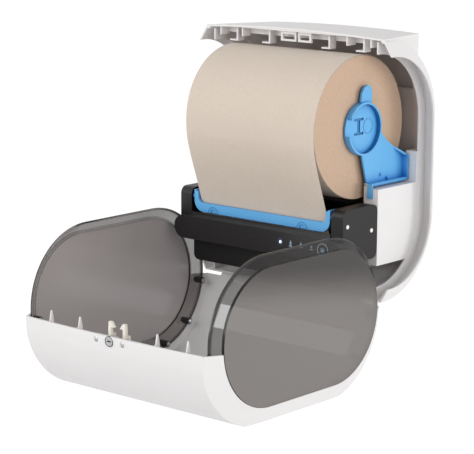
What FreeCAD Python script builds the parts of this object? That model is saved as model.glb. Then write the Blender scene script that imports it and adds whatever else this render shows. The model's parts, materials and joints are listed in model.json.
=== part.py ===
import FreeCAD, Part
import math
import os
import re
import Sketcher
from FreeCAD import Placement, Rotation, Vector

# Automatic roll towel dispenser, shown with its front cover swung down
# X runs to the viewer's right, Y towards the wall, Z up, all in millimetres
# The origin is on the wall face, level with the middle of the side windows
# Everything on the cover is drawn closed and then swung about its hinge

doc = FreeCAD.newDocument("towel_dispenser")
sheet = doc.addObject("Spreadsheet::Sheet", "Sizes")

DRIVING = {
    # outer form
    "mid_depth": 98.0,          # wall to the middle of the side windows
    "window_half": 58.0,        # half of a window's straight side
    "window_radius": 79.8,      # round ends of a window's face
    "window_face_x": 151.0,     # outer face of a window
    "rim_x": 150.5,             # outer edge of the shells' sloped rim
    "rim_radius": 80.5,
    "corner_x": 137.5,          # where the sloped rim meets the front
    "corner_radius": 101.0,
    "crown_rise": 3.5,          # how far the top and front swell
    "crown_radius": 2400.0,     # the large arc that gives that swell
    "cap_slope": 1.8,           # degrees that the cap drops towards the wall
    "wall_half": 113.0,         # half width where the cap meets the wall
    "back_x": 140.0,            # outer edge of the housing's bevelled band
    "ledge_radius": 82.0,       # stiffening ledge inside the housing
    "ledge_x": 128.0,
    "wall": 2.5,
    "parting": 103.0,           # wall to the joint between housing and cover
    "parting_gap": 0.5,
    "hinge_depth": 102.0,
    "hinge_drop": 159.0,
    "cover_opening": 90.0,      # degrees that the cover has swung down
    "knuckle_radius": 5.5,
    "hinge_pin_radius": 2.5,
    # side windows
    "pane": 2.2,
    "ring_top_x": 147.3,
    "ring_radius": 92.5,
    "ring_edge_x": 139.8,
    "ring_back_x": 137.8,
    "screw_circle": 86.0,
    "screw_radius": 1.5,
    # paper roll and its arms
    "roll_radius": 86.0,
    "roll_half": 100.0,
    "roll_height": 51.0,
    "core_radius": 20.5,
    "core_wall": 1.5,
    "paper": 0.3,
    "cup_radius": 32.0,
    "cup_inner_x": 101.5,
    "arm_x": 107.0,
    "arm_plate": 2.5,
    "arm_flange_x": 118.0,
    "arm_pivot_x": 108.5,
    "arm_pivot_z": -18.0,
    "arm_barrel_radius": 3.0,
    "arm_pin_radius": 1.5,
    # side boxes
    "box_in": 107.0,
    "box_out": 128.0,
    "box_front": 96.0,
    "box_top": -21.4,
    "box_bottom": -114.0,
    "post_top": 16.0,
    # dispensing module
    "cheek_in": 110.0,
    "cheek_out": 128.0,
    "cheek_front": 163.0,
    "cheek_back": 96.0,
    "cheek_top": -38.0,
    "cheek_bottom": -103.0,
    "cheek_round": 9.0,
    "panel_half": 131.0,
    "panel_top": -72.0,
    "panel_bottom": -101.0,
    "panel_front": 172.0,
    "panel_back": 163.0,
    "button_x": 105.5,
    "button_z": -86.0,
    "button_radius": 5.6,
    "button_travel": 1.2,
    "lamp_x": 41.0,
    "lamp_pitch": 15.8,
    "lamp_radius": 1.6,
    "drive_depth": 137.7,
    "drive_height": -80.0,
    "drive_radius": 14.0,
    "drive_half": 93.0,
    "shaft_radius": 4.0,
    "pinch_depth": 157.1,
    "pinch_radius": 4.5,
    "pinch_shaft_radius": 2.0,
    "motor_depth": 113.7,
    "motor_height": -58.8,
    "motor_radius": 13.0,
    "gear_module": 0.8,
    "drive_teeth": 48.0,
    "motor_teeth": 32.0,
    "gear_x": 114.0,
    "gear_width": 7.0,
    "chute_half": 111.0,
    "chute_front": 158.0,
    "chute_bottom": -129.5,
    # lock and latch in the top of the cover
    "lock_depth": 109.5,
    "lock_radius": 5.5,
    "lock_body_radius": 3.6,
    "latch_throw": 3.2,         # offset of the pin that drives the latch
    "keeper_depth": 99.0,
    # power
    "cell_radius": 16.6,
    "cell_length": 60.0,
}
for row, (alias, number) in enumerate(DRIVING.items(), start=1):
    sheet.set("A%d" % row, alias)
    sheet.set("B%d" % row, str(number))
    sheet.setAlias("B%d" % row, alias)
doc.recompute()

WORD = re.compile(r"[A-Za-z_][A-Za-z_0-9]*")
YZ_PLANE = Rotation(Vector(1, 1, 1), 120)
XZ_PLANE = Rotation(Vector(1, 0, 0), 90)
XY_PLANE = Rotation()
ALONG_X = Rotation(Vector(0, 1, 0), 90)
ALONG_Y = Rotation(Vector(1, 0, 0), -90)


def cells(text):
    """Write aliases as references to the sheet."""
    def cell(match):
        word = match.group(0)
        return "Sizes." + word if word in DRIVING else word
    return WORD.sub(cell, str(text))


def number(text):
    """Work out an expression of aliases."""
    def figure(match):
        word = match.group(0)
        return repr(float(sheet.get(word))) if word in DRIVING else word
    return FreeCAD.Units.Quantity(WORD.sub(figure, str(text))).Value


def bind(thing, **links):
    """Tie properties to the sheet, with __ standing for a dot."""
    for path, text in links.items():
        thing.setExpression(path.replace("__", "."), cells(text))
    return thing


def place(thing, x="0", y="0", z="0"):
    """Put an object at a point that follows the sheet."""
    return bind(thing, Placement__Base__x=x, Placement__Base__y=y, Placement__Base__z=z)


def box(name, x_span, y_span, z_span):
    """Block between pairs of expressions."""
    block = doc.addObject("Part::Box", name)
    bind(block, Length="(%s) - (%s)" % (x_span[1], x_span[0]))
    bind(block, Width="(%s) - (%s)" % (y_span[1], y_span[0]))
    bind(block, Height="(%s) - (%s)" % (z_span[1], z_span[0]))
    return place(block, x_span[0], y_span[0], z_span[0])


def rod(name, radius, axis, start, end, first, second):
    """Cylinder along x, y or z at the other two coordinates, in order."""
    bar = doc.addObject("Part::Cylinder", name)
    bind(bar, Radius=radius, Height="(%s) - (%s)" % (end, start))
    if axis == "x":
        bar.Placement = Placement(Vector(), ALONG_X)
        return place(bar, start, first, second)
    if axis == "y":
        bar.Placement = Placement(Vector(), ALONG_Y)
        return place(bar, first, start, second)
    return place(bar, first, second, start)


def tube(name, outer, inner, axis, start, end, first, second):
    """Round tube along an axis."""
    return cut(name, rod(name + "_out", outer, axis, start, end, first, second),
               [rod(name + "_bore", inner, axis, "(%s) - 1" % start, "(%s) + 1" % end, first, second)])


def join(name, pieces):
    """One moulded piece from overlapping forms."""
    whole = doc.addObject("Part::MultiFuse", name)
    whole.Shapes = pieces
    return whole


def cut(name, base, tools):
    """Base with every tool taken away."""
    result = doc.addObject("Part::Cut", name)
    result.Base = base
    result.Tool = tools[0] if len(tools) == 1 else join(name + "_tools", tools)
    return result


def common(name, pieces):
    """What several forms share."""
    shared = doc.addObject("Part::MultiCommon", name)
    shared.Shapes = pieces
    return shared


def group(name, pieces):
    """Several separate solids that share a node."""
    bundle = doc.addObject("Part::Compound", name)
    bundle.Links = pieces
    return bundle


def extrude(name, sketch, direction, start, end):
    """Prism of a sketch between two distances along its normal."""
    prism = doc.addObject("Part::Extrusion", name)
    prism.Base = sketch
    prism.DirMode = "Custom"
    prism.Dir = direction
    prism.Solid = True
    bind(prism, LengthFwd=end, LengthRev="-(%s)" % start)
    return prism


def loft(name, sections):
    """Straight-sided solid through sketches with matching edges."""
    body = doc.addObject("Part::Loft", name)
    body.Sections = sections
    body.Solid = True
    body.Ruled = True
    return body


def rounded(name, base, radius, chosen):
    """Base with the edges that a test picks rounded."""
    doc.recompute()
    edge_list = []
    for index, edge in enumerate(base.Shape.Edges, start=1):
        if chosen(edge):
            edge_list.append((index, radius, radius))
    soft = doc.addObject("Part::Fillet", name)
    soft.Base = base
    soft.Edges = edge_list
    return soft


def runs_along(direction):
    """Test for straight edges along a direction."""
    def test(edge):
        ends = edge.Vertexes
        if len(ends) < 2:
            return False
        span = ends[1].Point - ends[0].Point
        return span.Length > 1 and abs(span.normalize().dot(direction)) > 0.999
    return test


def lower_corners(direction, low):
    """Test for the lowest edges that run along a direction."""
    def test(edge):
        return runs_along(direction)(edge) and abs(edge.Vertexes[0].Point.z - number(low)) < 0.01
    return test


def fixed(sketch, kind, geometry, point, text):
    """Distance from the sketch's origin, tied to the sheet."""
    index = sketch.addConstraint(Sketcher.Constraint(kind, -1, 1, geometry, point, number(text)))
    sketch.setExpression("Constraints[%d]" % index, cells(text))


def radius_of(sketch, geometry, text):
    """Radius of an arc or circle, tied to the sheet."""
    index = sketch.addConstraint(Sketcher.Constraint("Radius", geometry, number(text)))
    sketch.setExpression("Constraints[%d]" % index, cells(text))


def half_outline(name, x, deep, mouth, top, bottom, top_radius, bottom_radius):
    """Side view of a shell half at one x: closed on one side, open at the joint."""
    sketch = doc.addObject("Sketcher::SketchObject", name)
    far = number(deep)
    near = number(mouth)
    high = number(top)
    low = number(bottom)
    upper = number(top_radius)
    lower = number(bottom_radius)
    side = 1 if far > near else -1
    quarter = math.pi / 2
    up_centre = Vector(far - side * upper, high - upper)
    low_centre = Vector(far - side * lower, low + lower)
    up_start = 0 if side > 0 else quarter
    low_start = -quarter if side > 0 else 2 * quarter
    flat = Vector(0, 0, 1)
    sketch.addGeometry(Part.LineSegment(Vector(near, high), Vector(up_centre.x, high)))
    sketch.addGeometry(Part.ArcOfCircle(Part.Circle(up_centre, flat, upper), up_start,
                                        up_start + quarter))
    sketch.addGeometry(Part.LineSegment(Vector(far, up_centre.y), Vector(far, low_centre.y)))
    sketch.addGeometry(Part.ArcOfCircle(Part.Circle(low_centre, flat, lower), low_start,
                                        low_start + quarter))
    sketch.addGeometry(Part.LineSegment(Vector(low_centre.x, low), Vector(near, low)))
    sketch.addGeometry(Part.LineSegment(Vector(near, low), Vector(near, high)))
    up_top, up_side = (2, 1) if side > 0 else (1, 2)
    low_bottom, low_side = (1, 2) if side > 0 else (2, 1)
    for link in ((0, 2, 1, up_top), (1, up_side, 2, 1), (2, 2, 3, low_side), (3, low_bottom, 4, 1)):
        sketch.addConstraint(Sketcher.Constraint("Tangent", *link))
    sketch.addConstraint(Sketcher.Constraint("Coincident", 4, 2, 5, 1))
    sketch.addConstraint(Sketcher.Constraint("Coincident", 5, 2, 0, 1))
    for line in (0, 4):
        sketch.addConstraint(Sketcher.Constraint("Horizontal", line))
    for line in (2, 5):
        sketch.addConstraint(Sketcher.Constraint("Vertical", line))
    fixed(sketch, "DistanceX", 2, 1, deep)
    fixed(sketch, "DistanceX", 5, 1, mouth)
    fixed(sketch, "DistanceY", 0, 1, top)
    fixed(sketch, "DistanceY", 4, 2, bottom)
    radius_of(sketch, 1, top_radius)
    radius_of(sketch, 3, bottom_radius)
    sketch.Placement = Placement(Vector(), YZ_PLANE)
    return bind(sketch, Placement__Base__x=x)


def window_outline(name, x, radius):
    """Two half circles joined by straight sides, at one x."""
    sketch = doc.addObject("Sketcher::SketchObject", name)
    size = number(radius)
    half = number("window_half")
    middle = -number("mid_depth")
    flat = Vector(0, 0, 1)
    sketch.addGeometry(Part.ArcOfCircle(Part.Circle(Vector(middle, half), flat, size), 0, math.pi))
    sketch.addGeometry(Part.LineSegment(Vector(middle - size, half), Vector(middle - size, -half)))
    sketch.addGeometry(Part.ArcOfCircle(Part.Circle(Vector(middle, -half), flat, size), math.pi,
                                        2 * math.pi))
    sketch.addGeometry(Part.LineSegment(Vector(middle + size, -half), Vector(middle + size, half)))
    for link in ((0, 2, 1, 1), (1, 2, 2, 1), (2, 2, 3, 1), (3, 2, 0, 1)):
        sketch.addConstraint(Sketcher.Constraint("Tangent", *link))
    sketch.addConstraint(Sketcher.Constraint("Vertical", 1))
    radius_of(sketch, 0, radius)
    fixed(sketch, "DistanceX", 0, 3, "-mid_depth")
    fixed(sketch, "DistanceY", 0, 3, "window_half")
    fixed(sketch, "DistanceY", 2, 3, "-window_half")
    sketch.Placement = Placement(Vector(), YZ_PLANE)
    return bind(sketch, Placement__Base__x=x)


def polygon(name, plane, points, **base):
    """Closed outline whose corners follow the sheet, in a plane turned and placed as asked."""
    sketch = doc.addObject("Sketcher::SketchObject", name)
    corners = [Vector(number(across), number(up)) for across, up in points]
    count = len(corners)
    for index, corner in enumerate(corners):
        sketch.addGeometry(Part.LineSegment(corner, corners[(index + 1) % count]))
    for index in range(count):
        sketch.addConstraint(Sketcher.Constraint("Coincident", index, 2, (index + 1) % count, 1))
    for index, (across, up) in enumerate(points):
        fixed(sketch, "DistanceX", index, 1, across)
        fixed(sketch, "DistanceY", index, 1, up)
    sketch.Placement = Placement(Vector(), plane)
    return place(sketch, **base)


def mirrored(side, start, end):
    """Span on the right, or its mirror on the left."""
    return ("%s" % start, "%s" % end) if side > 0 else ("-(%s)" % end, "-(%s)" % start)


def rim_line(name, side, deep_sign, inset, mouth):
    """Half of the window's outline where the bevelled band ends."""
    radius = "(rim_radius - 0.32 * %s)" % inset
    return half_outline(name, "%d * (rim_x - 0.84 * %s)" % (side, inset),
                        "-mid_depth + %d * %s" % (deep_sign, radius),
                        mouth, "window_half + " + radius, "-window_half - " + radius, radius, radius)


def crowned(name, form, inset, slope):
    """Trim a form's top to the large arc that swells across its width."""
    reach = 150
    arc = doc.addObject("Part::Cylinder", name + "_arc")
    bind(arc, Radius="crown_radius", Height=4 * reach)
    arc.Placement = Placement(Vector(), Rotation(Vector(1, 0, 0), -number(slope)) * ALONG_Y)
    rise = "window_half + corner_radius + crown_rise - %s - crown_radius / cos(%s) + %d * tan(%s)"
    place(arc, 0, "-parting - %d" % reach, rise % (inset, slope, reach, slope))
    return common(name, [form, arc])


def rear_form(name, inset, mouth):
    """Rear half of the case, drawn in all round by an inset: a bevelled band with a square cap on top."""
    sections = []
    for side, word in SIDES:
        rim = rim_line("%s_rim_%s" % (name, word), side, 1, inset, mouth)
        reach = "(mid_depth - %s)" % inset
        edge = half_outline("%s_edge_%s" % (name, word), "%d * (back_x - 0.7 * %s)" % (side, inset),
                            "-%s" % inset, mouth, "window_half + " + reach, "-window_half - " + reach,
                            reach, reach)
        sections += [rim, edge] if side < 0 else [edge, rim]
    rim_top = "window_half + rim_radius"
    root = "90 - wall + %s" % inset
    outlines = []
    for word, depth, low_half, high_half, shoulder in (
            ("mouth", mouth, "(rim_x - 1.18 * %s)" % inset, "(corner_x - 1.18 * %s)" % inset,
             "window_half + corner_radius"),
            ("back", "-%s" % inset, "(wall_half - %s)" % inset, "(wall_half - %s)" % inset, 150)):
        corners = (("-" + low_half, root), ("-" + low_half, rim_top), ("-" + high_half, shoulder),
                   ("-" + high_half, 170), (high_half, 170), (high_half, shoulder),
                   (low_half, rim_top), (low_half, root))
        outlines.append(polygon("%s_cap_%s" % (name, word), XZ_PLANE, corners, y=depth))
    band = loft(name + "_band", sections)
    cap = loft(name + "_cap", outlines)
    return crowned(name, join(name + "_whole", [band, cap]), inset, "cap_slope")


def front_form(name, inset, mouth):
    """Front half of the case, drawn in all round by an inset."""
    reach = "(corner_radius + crown_rise - %s)" % inset
    sections = []
    for side, word in SIDES:
        rim = rim_line("%s_rim_%s" % (name, word), side, -1, inset, mouth)
        corner = half_outline("%s_corner_%s" % (name, word), "%d * (corner_x - 0.7 * %s)" % (side, inset),
                              "-mid_depth - " + reach, mouth, "window_half + " + reach,
                              "-window_half - corner_radius + %s" % inset, reach,
                              "corner_radius - %s" % inset)
        sections += [rim, corner] if side < 0 else [corner, rim]
    whole = crowned(name + "_top", loft(name + "_loft", sections), inset, "0")
    face = "crown_radius - mid_depth - corner_radius - crown_rise + %s" % inset
    return common(name, [whole, rod(name + "_face", "crown_radius", "z", -250, 250, 0, face)])


def window_prism(name, radius, start, end):
    """Prism with a window's outline."""
    return extrude(name, window_outline(name + "_line", "0", radius), Vector(1, 0, 0), start, end)


def sloped_window(name, side, stops):
    """Straight-sided solid through window outlines, each a radius at an x."""
    return loft(name, [window_outline("%s_%d" % (name, index), "%d * (%s)" % (side, x), radius)
                       for index, (radius, x) in enumerate(stops)])


def swing(thing):
    """Turn a piece drawn on the closed cover to where it hangs open."""
    pivot = Vector(0, -number("hinge_depth"), -number("hinge_drop"))
    turn = Rotation(Vector(1, 0, 0), number("cover_opening"))
    thing.Placement = Placement(Vector(), turn, pivot)
    return thing


def keep(name, thing):
    """Give a finished piece its own name."""
    thing.Label = name
    nodes[name] = thing
    return thing


nodes = {}
SIDES = ((-1, "left"), (1, "right"))

# Rear housing: back wall, cap, bevelled band, latch keeper, ribs and screw holes
KEEPER_SPANS = ((-21.5, 2.4), (5.4, 25.7))
KEEPER_BARS = ((-21.5, -18.5), (0, 2.4), (5.4, 8), (22.7, 25.7))
KEEPER_RAILS = ((146, 148.5), (154.5, 165))
CAP_TABS = (46.5, 98.5)
CAP_GUSSETS = (81.5, 117)
HINGE_ROOM = (56, 92)
COVER_KNUCKLE = (60, 74)
HOUSING_KNUCKLE = (74.4, 89)
SCREW_COLUMN = 50
SCREW_ROWS = (-50, 100)
SCREW_HOLE = 2.75

rear_outer = rear_form("rear_outer", "0", "-parting")
rear_shell = cut("rear_shell", rear_outer, [
    rear_form("rear_inner", "wall", "-parting - 12"),
    window_prism("rear_opening", "rim_radius", "-rim_x - 5", "rim_x + 5"),
    *[box("rear_hinge_room_" + word, mirrored(side, *HINGE_ROOM),
          ("-hinge_depth - 8", "-hinge_depth + 6"), (-170, -150)) for side, word in SIDES],
])
keeper_span = ("-keeper_depth", "-keeper_depth + 3")
ribs = [
    box("cap_rib", (-125, 125), ("-keeper_depth + 12", "-keeper_depth + 14"), (150, 170)),
    box("cap_lip", (-136, 136), ("-parting + 0.2", "-parting + 2.5"),
        ("window_half + corner_radius - 0.8", 170)),
]
for index, bar in enumerate(KEEPER_BARS):
    ribs.append(box("keeper_bar_%d" % index, bar, keeper_span, (146, 165)))
for index, rail in enumerate(KEEPER_RAILS):
    for place_index, span in enumerate(KEEPER_SPANS):
        ribs.append(box("keeper_rail_%d_%d" % (index, place_index), span, keeper_span, rail))
for side, word in SIDES:
    for index, middle in enumerate(CAP_TABS):
        ribs.append(box("%s_tab_%d" % (word, index), mirrored(side, middle - 6.5, middle + 6.5),
                        ("-keeper_depth + 2", "-keeper_depth + 14"), (140.5, 142.5)))
        inner, outer = (middle + 4, middle + 6.5) if side > 0 else (middle - 6.5, middle - 4)
        ribs.append(box("%s_strut_%d" % (word, index), mirrored(side, inner, outer),
                        ("-keeper_depth + 2", "-keeper_depth + 14"), (142, 165)))
    for index, middle in enumerate(CAP_GUSSETS):
        ribs.append(box("%s_gusset_%d" % (word, index), mirrored(side, middle - 1, middle + 1),
                        ("-keeper_depth - 2", "-keeper_depth + 14"), (147, 165)))
    ledge = cut(word + "_ledge_ring", window_prism(word + "_ledge_outer", "mid_depth - 1.5",
                                                   *mirrored(side, "ledge_x - 2", "ledge_x")),
                [window_prism(word + "_ledge_inner", "ledge_radius",
                              *mirrored(side, "ledge_x - 3", "ledge_x + 1")),
                 box(word + "_ledge_front", mirrored(side, 100, 150), (-250, "-parting + 2"),
                     (-250, 250))])
    ribs.append(ledge)
fitted = common("fitted_ribs", [join("rear_ribs", ribs), rear_form("rear_fit", 1.2, "-parting")])
housing = [rear_shell, fitted]
holes = []
for side, word in SIDES:
    span = mirrored(side, *HOUSING_KNUCKLE)
    housing.append(rod("housing_knuckle_" + word, "knuckle_radius", "x", *span, "-hinge_depth",
                       "-hinge_drop"))
    housing.append(box("housing_knuckle_arm_" + word, span, ("-hinge_depth", "-hinge_depth + 10"),
                       ("-hinge_drop - 3", "-hinge_drop + 5")))
    holes.append(rod("housing_pin_hole_" + word, "hinge_pin_radius + 0.02", "x",
                     *mirrored(side, COVER_KNUCKLE[0] - 2, HOUSING_KNUCKLE[1] + 2), "-hinge_depth",
                     "-hinge_drop"))
    for index, height in enumerate(SCREW_ROWS):
        holes.append(rod("wall_screw_hole_%s_%d" % (word, index), SCREW_HOLE, "y", -5, 1,
                         side * SCREW_COLUMN, height))
keep("rear_housing", cut("housing_drilled", join("housing_solid", housing), holes))

# Side boxes that carry the two roll arms, each with its long hinge pin
for side, word in SIDES:
    pivot = mirrored(side, "arm_pivot_x", "arm_pivot_x")[0]
    block = common(word + "_box_form", [
        box(word + "_box_block", mirrored(side, "box_in", "box_out"), ("-box_front", 0),
            ("box_bottom", "box_top")),
        rear_form(word + "_box_limit", "(wall + 0.1)", "-parting"),
    ])
    shell = cut(word + "_box_shell", block, [
        common(word + "_box_hollow", [
            box(word + "_box_room", mirrored(side, "box_in + wall", "ledge_x - 2.1 - wall"),
                ("-box_front + wall", "-wall * 2"), ("box_bottom + wall", "box_top - wall")),
            rear_form(word + "_hollow_limit", "(wall * 2 + 0.1)", "-parting"),
        ])])
    solid = join(word + "_box_solid", [
        shell,
        box(word + "_post", mirrored(side, "box_in + 5", "box_out"), (-19.5, "-wall - 0.1"),
            ("box_top - 1", "post_top")),
        box(word + "_front_lug", mirrored(side, "arm_pivot_x - 1.5", "arm_pivot_x + 3.5"),
            ("-box_front", "-box_front + 2.2"), ("box_top - 1", "arm_pivot_z + 2.1")),
        box(word + "_rear_lug", mirrored(side, "arm_pivot_x - 1.5", "arm_pivot_x + 4"),
            (-20.4, -17), ("box_top - 1", "arm_pivot_z + 3.5")),
    ])
    rebate = cut(word + "_rebate", box(word + "_rebate_block",
                                       mirrored(side, "ledge_x - 2.1", "ledge_x + 1"),
                                       (-130, 5), (-180, 180)),
                 [window_prism(word + "_rebate_room", "ledge_radius - 0.1",
                               *mirrored(side, "ledge_x - 3", "ledge_x + 2"))])
    keep(word + "_side_box", cut(word + "_box_cut", solid, [
        rebate,
        rod(word + "_arm_bore", "arm_pin_radius + 0.02", "y", "-box_front - 1", -15, pivot,
            "arm_pivot_z"),
    ]))
    keep(word + "_arm_pin", rod(word + "_arm_rod", "arm_pin_radius", "y", "-box_front", -17.2,
                                pivot, "arm_pivot_z"))

# Roll arms: dished disc with a core plug, sloping web with a flange, leg and thumb tab
ARM_LINE = ((-104, 18), (-94.7, -13), (-92, -18.9), (-21, -18.9), (-21, 11), (-54, 31), (-70, 46))
ARM_HOLLOW = ((-118, 20), (-99, -15.5), (-97, -15.5), (-23.5, -15.5), (-23.5, 9.6), (-55.4, 28.8),
              (-76, 48))
FLANGE_TAPER = ((109.5, -76), (109.5, -43), (119.5, -18.3), (119.5, -76))
ARM_GUSSET = ((109, -10.5), (109, -17), (116.7, -17))
THUMB_TAB = ((-84.5, 72), (-104, 72), (-104.5, 84), (-103, 93), (-98.5, 99.5), (-92, 102), (-87, 100),
             (-84.5, 95.5), (-84, 88))
for side, word in SIDES:
    pivot = mirrored(side, "arm_pivot_x", "arm_pivot_x")[0]
    middle = ("-mid_depth", "roll_height - 1")
    outward = Vector(side, 0, 0)
    taper = tuple((side * across, along) for across, along in FLANGE_TAPER)
    gusset = tuple((side * across, up) for across, up in ARM_GUSSET)
    tray = cut(word + "_arm_tray",
               extrude(word + "_arm_block", polygon(word + "_arm_line", YZ_PLANE, ARM_LINE), outward,
                       "arm_x", "arm_flange_x"),
               [extrude(word + "_arm_hollow", polygon(word + "_arm_inside", YZ_PLANE, ARM_HOLLOW),
                        outward,
                        "arm_x + arm_plate", "arm_flange_x + 2")])
    cup = rod(word + "_cup", "cup_radius", "x", *mirrored(side, "cup_inner_x", "arm_x + arm_plate"),
              *middle)
    plug = doc.addObject("Part::Cone", word + "_plug")
    bind(plug, Radius1="core_radius - core_wall - 0.4", Radius2="core_radius - core_wall - 3", Height=11)
    plug.Placement = Placement(Vector(), Rotation(Vector(0, 1, 0), -90 * side))
    place(plug, mirrored(side, "cup_inner_x", "cup_inner_x")[0], "-mid_depth", "roll_height")
    moulding = join(word + "_arm_moulding", [
        tray,
        cup,
        plug,
        rod(word + "_arm_barrel", "arm_barrel_radius", "y", "-92.3", "-21.2", pivot, "arm_pivot_z"),
        box(word + "_arm_leg", mirrored(side, "arm_x + 6.5", "arm_x + 13.5"),
            ("-box_front - 2.4", "-box_front - 0.4"), (-33, "arm_pivot_z + 2.5")),
        box(word + "_leg_bridge", mirrored(side, "arm_x + 6.5", "arm_flange_x"),
            ("-box_front - 2.4", -90), ("arm_pivot_z - 0.9", "arm_pivot_z + 2.5")),
        extrude(word + "_arm_gusset", polygon(word + "_gusset_line", XZ_PLANE, gusset),
                Vector(0, -1, 0), 55.1, 56.3),
        rod(word + "_arm_boss", 1.6, "x", *mirrored(side, "arm_x + 2", "arm_x + 4.5"), -67.3, -8.1),
        extrude(word + "_thumb_tab", polygon(word + "_thumb_line", YZ_PLANE, THUMB_TAB), outward,
                "arm_x - 2.5", "arm_x + 0.5"),
    ])
    keep(word + "_roll_arm", cut(word + "_arm_cut", moulding, [
        rod(word + "_cup_hollow", "cup_radius - 2.5", "x",
            *mirrored(side, "cup_inner_x + 2.2", "arm_flange_x + 3"), *middle),
        rod(word + "_barrel_bore", "arm_pin_radius + 0.05", "y", -100, -10, pivot, "arm_pivot_z"),
        extrude(word + "_flange_taper", polygon(word + "_taper_line", XY_PLANE, taper),
                Vector(0, 0, 1), 11.5, 60),
        box(word + "_rim_notch", mirrored(side, "cup_inner_x + 2.2", "arm_x + 4"), (-132, -124.5),
            (43, 70)),
    ]))

# Paper roll on its cardboard core, and the free end that runs down to the rollers
keep("paper_roll", tube("wound_paper", "roll_radius", "core_radius", "x", "-roll_half", "roll_half",
                        "-mid_depth", "roll_height"))
keep("core_tube", tube("cardboard", "core_radius", "core_radius - core_wall", "x", "-roll_half",
                       "roll_half",
                       "-mid_depth", "roll_height"))
web_line = (
    ("-mid_depth - roll_radius - 0.9", "roll_height"), ("-mid_depth - roll_radius - 0.5", 38),
    ("-mid_depth - roll_radius + 2.4", 20), ("-mid_depth - roll_radius + 12", -8), (-160.5, -40),
    (-154.2, -62), ("-pinch_depth + pinch_radius + 0.5", "drive_height"), (-151.9, -104),
    (-151.9, -127),
)
web_back = tuple(("%s + paper" % across, up) for across, up in reversed(web_line))
keep("paper_web", extrude("paper_strip", polygon("web_line", YZ_PLANE, web_line + web_back),
                          Vector(1, 0, 0),
                          "-roll_half + 0.5", "roll_half - 0.5"))

# Cheeks at the ends of the dispensing module, each a tub closed by an end plate
PEGS = ((-154, -58), (-107.5, -68.5))
PLATE = 2.4
for side, word in SIDES:
    block = box(word + "_cheek_block", mirrored(side, "cheek_in", "cheek_out"),
                ("-cheek_front", "-cheek_back"),
                ("cheek_bottom", "cheek_top"))
    room = box(word + "_cheek_room", mirrored(side, "cheek_in - 1", "cheek_out - 2.5"),
               ("-cheek_front + 2.5", "-cheek_back - 2.5"), ("cheek_bottom + 2.5", "cheek_top - 2.5"))
    lid = box(word + "_plate_block", mirrored(side, "cheek_in", "cheek_in + %g" % PLATE),
              ("-cheek_front + 2.6", "-cheek_back - 2.6"), ("cheek_bottom + 2.6", "cheek_top - 2.6"))
    tools = [rounded(word + "_cheek_hollow", room, number("cheek_round - 2.5"),
                     runs_along(Vector(1, 0, 0)))]
    pegs = []
    for index, (depth, height) in enumerate(PEGS):
        tools.append(rod("%s_peg_hole_%d" % (word, index), 2.6, "x",
                         *mirrored(side, "cheek_out - 4", "cheek_out + 1"), depth, height))
        pegs.append(rod("%s_peg_%d" % (word, index), 2.58, "x",
                        *mirrored(side, "cheek_out - 2.4", "cheek_out + 0.4"), depth, height))
    keep(word + "_cheek", cut(word + "_cheek_cut",
                              rounded(word + "_cheek_round", block, number("cheek_round"),
                                                           runs_along(Vector(1, 0, 0))), tools))
    keep(word + "_cheek_pegs", group(word + "_peg_group", pegs))
    bores = [
        rod(word + "_shaft_hole", "shaft_radius + 0.04", "x",
            *mirrored(side, "cheek_in - 1", "cheek_in + 4"),
            "-drive_depth", "drive_height"),
        rod(word + "_pinch_hole", "pinch_shaft_radius + 0.04", "x",
            *mirrored(side, "cheek_in - 1", "cheek_in + 4"),
            "-pinch_depth", "drive_height"),
    ]
    if side > 0:
        bores.append(rod("motor_shaft_hole", 2.6, "x", "cheek_in - 1", "cheek_in + 4", "-motor_depth",
                         "motor_height"))
    keep(word + "_end_plate", cut(word + "_plate_cut", rounded(
        word + "_plate_round", lid, number("cheek_round - 2.6"), runs_along(Vector(1, 0, 0))), bores))

# Beam between the cheeks with its two stays to the back wall
beam = [
    box("beam_back", ("-cheek_in", "cheek_in"), (-99.5, -97), ("cheek_bottom", -42)),
    box("beam_floor", ("-cheek_in", "cheek_in"), (-122, -97), ("cheek_bottom", "cheek_bottom + 3")),
    box("beam_ledge", ("-cheek_in", 40), (-118, -97), (-62, -59.5)),
]
for side, word in SIDES:
    beam.append(box(word + "_stay", mirrored(side, 88, 92), (-98, "-wall - 0.1"), (-57, -47)))
keep("module_beam", join("beam_solid", beam))


# Chute under the rollers, with the tear bar on the inner face of its throat
CHUTE_ROUND = 8
chute_block = box("chute_block", ("-chute_half", "chute_half"), ("-chute_front", -122.3),
                  ("chute_bottom", "cheek_bottom"))
keep("chute", cut("chute_cut", rounded(
    "chute_round", chute_block, CHUTE_ROUND, lower_corners(Vector(0, 1, 0), "chute_bottom")), [
    box("chute_throat", ("-chute_half + 9.5", "chute_half - 9.5"), ("-chute_front + 2.5", -146),
        (-140, -90)),
    box("chute_hollow", ("-chute_half + 9.5", "chute_half - 9.5"), (-143.5, -124.8), (-127, -90)),
]))
TOOTH_PITCH = 4
TOOTH_DEPTH = 2.5
TEAR_HALF = 98
TEAR_TIP = -129
teeth = []
for index in range(2 * TEAR_HALF // TOOTH_PITCH):
    start = -TEAR_HALF + index * TOOTH_PITCH
    teeth += [(start, TEAR_TIP + TOOTH_DEPTH), (start + TOOTH_PITCH / 2, TEAR_TIP)]
tear_line = [(-TEAR_HALF, -116)] + teeth + [(TEAR_HALF, TEAR_TIP + TOOTH_DEPTH), (TEAR_HALF, -116)]
keep("tear_bar", extrude("tear_blade", polygon("tear_line", XZ_PLANE, tear_line), Vector(0, -1, 0),
                         "chute_front - 3.35", "chute_front - 2.55"))

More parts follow.
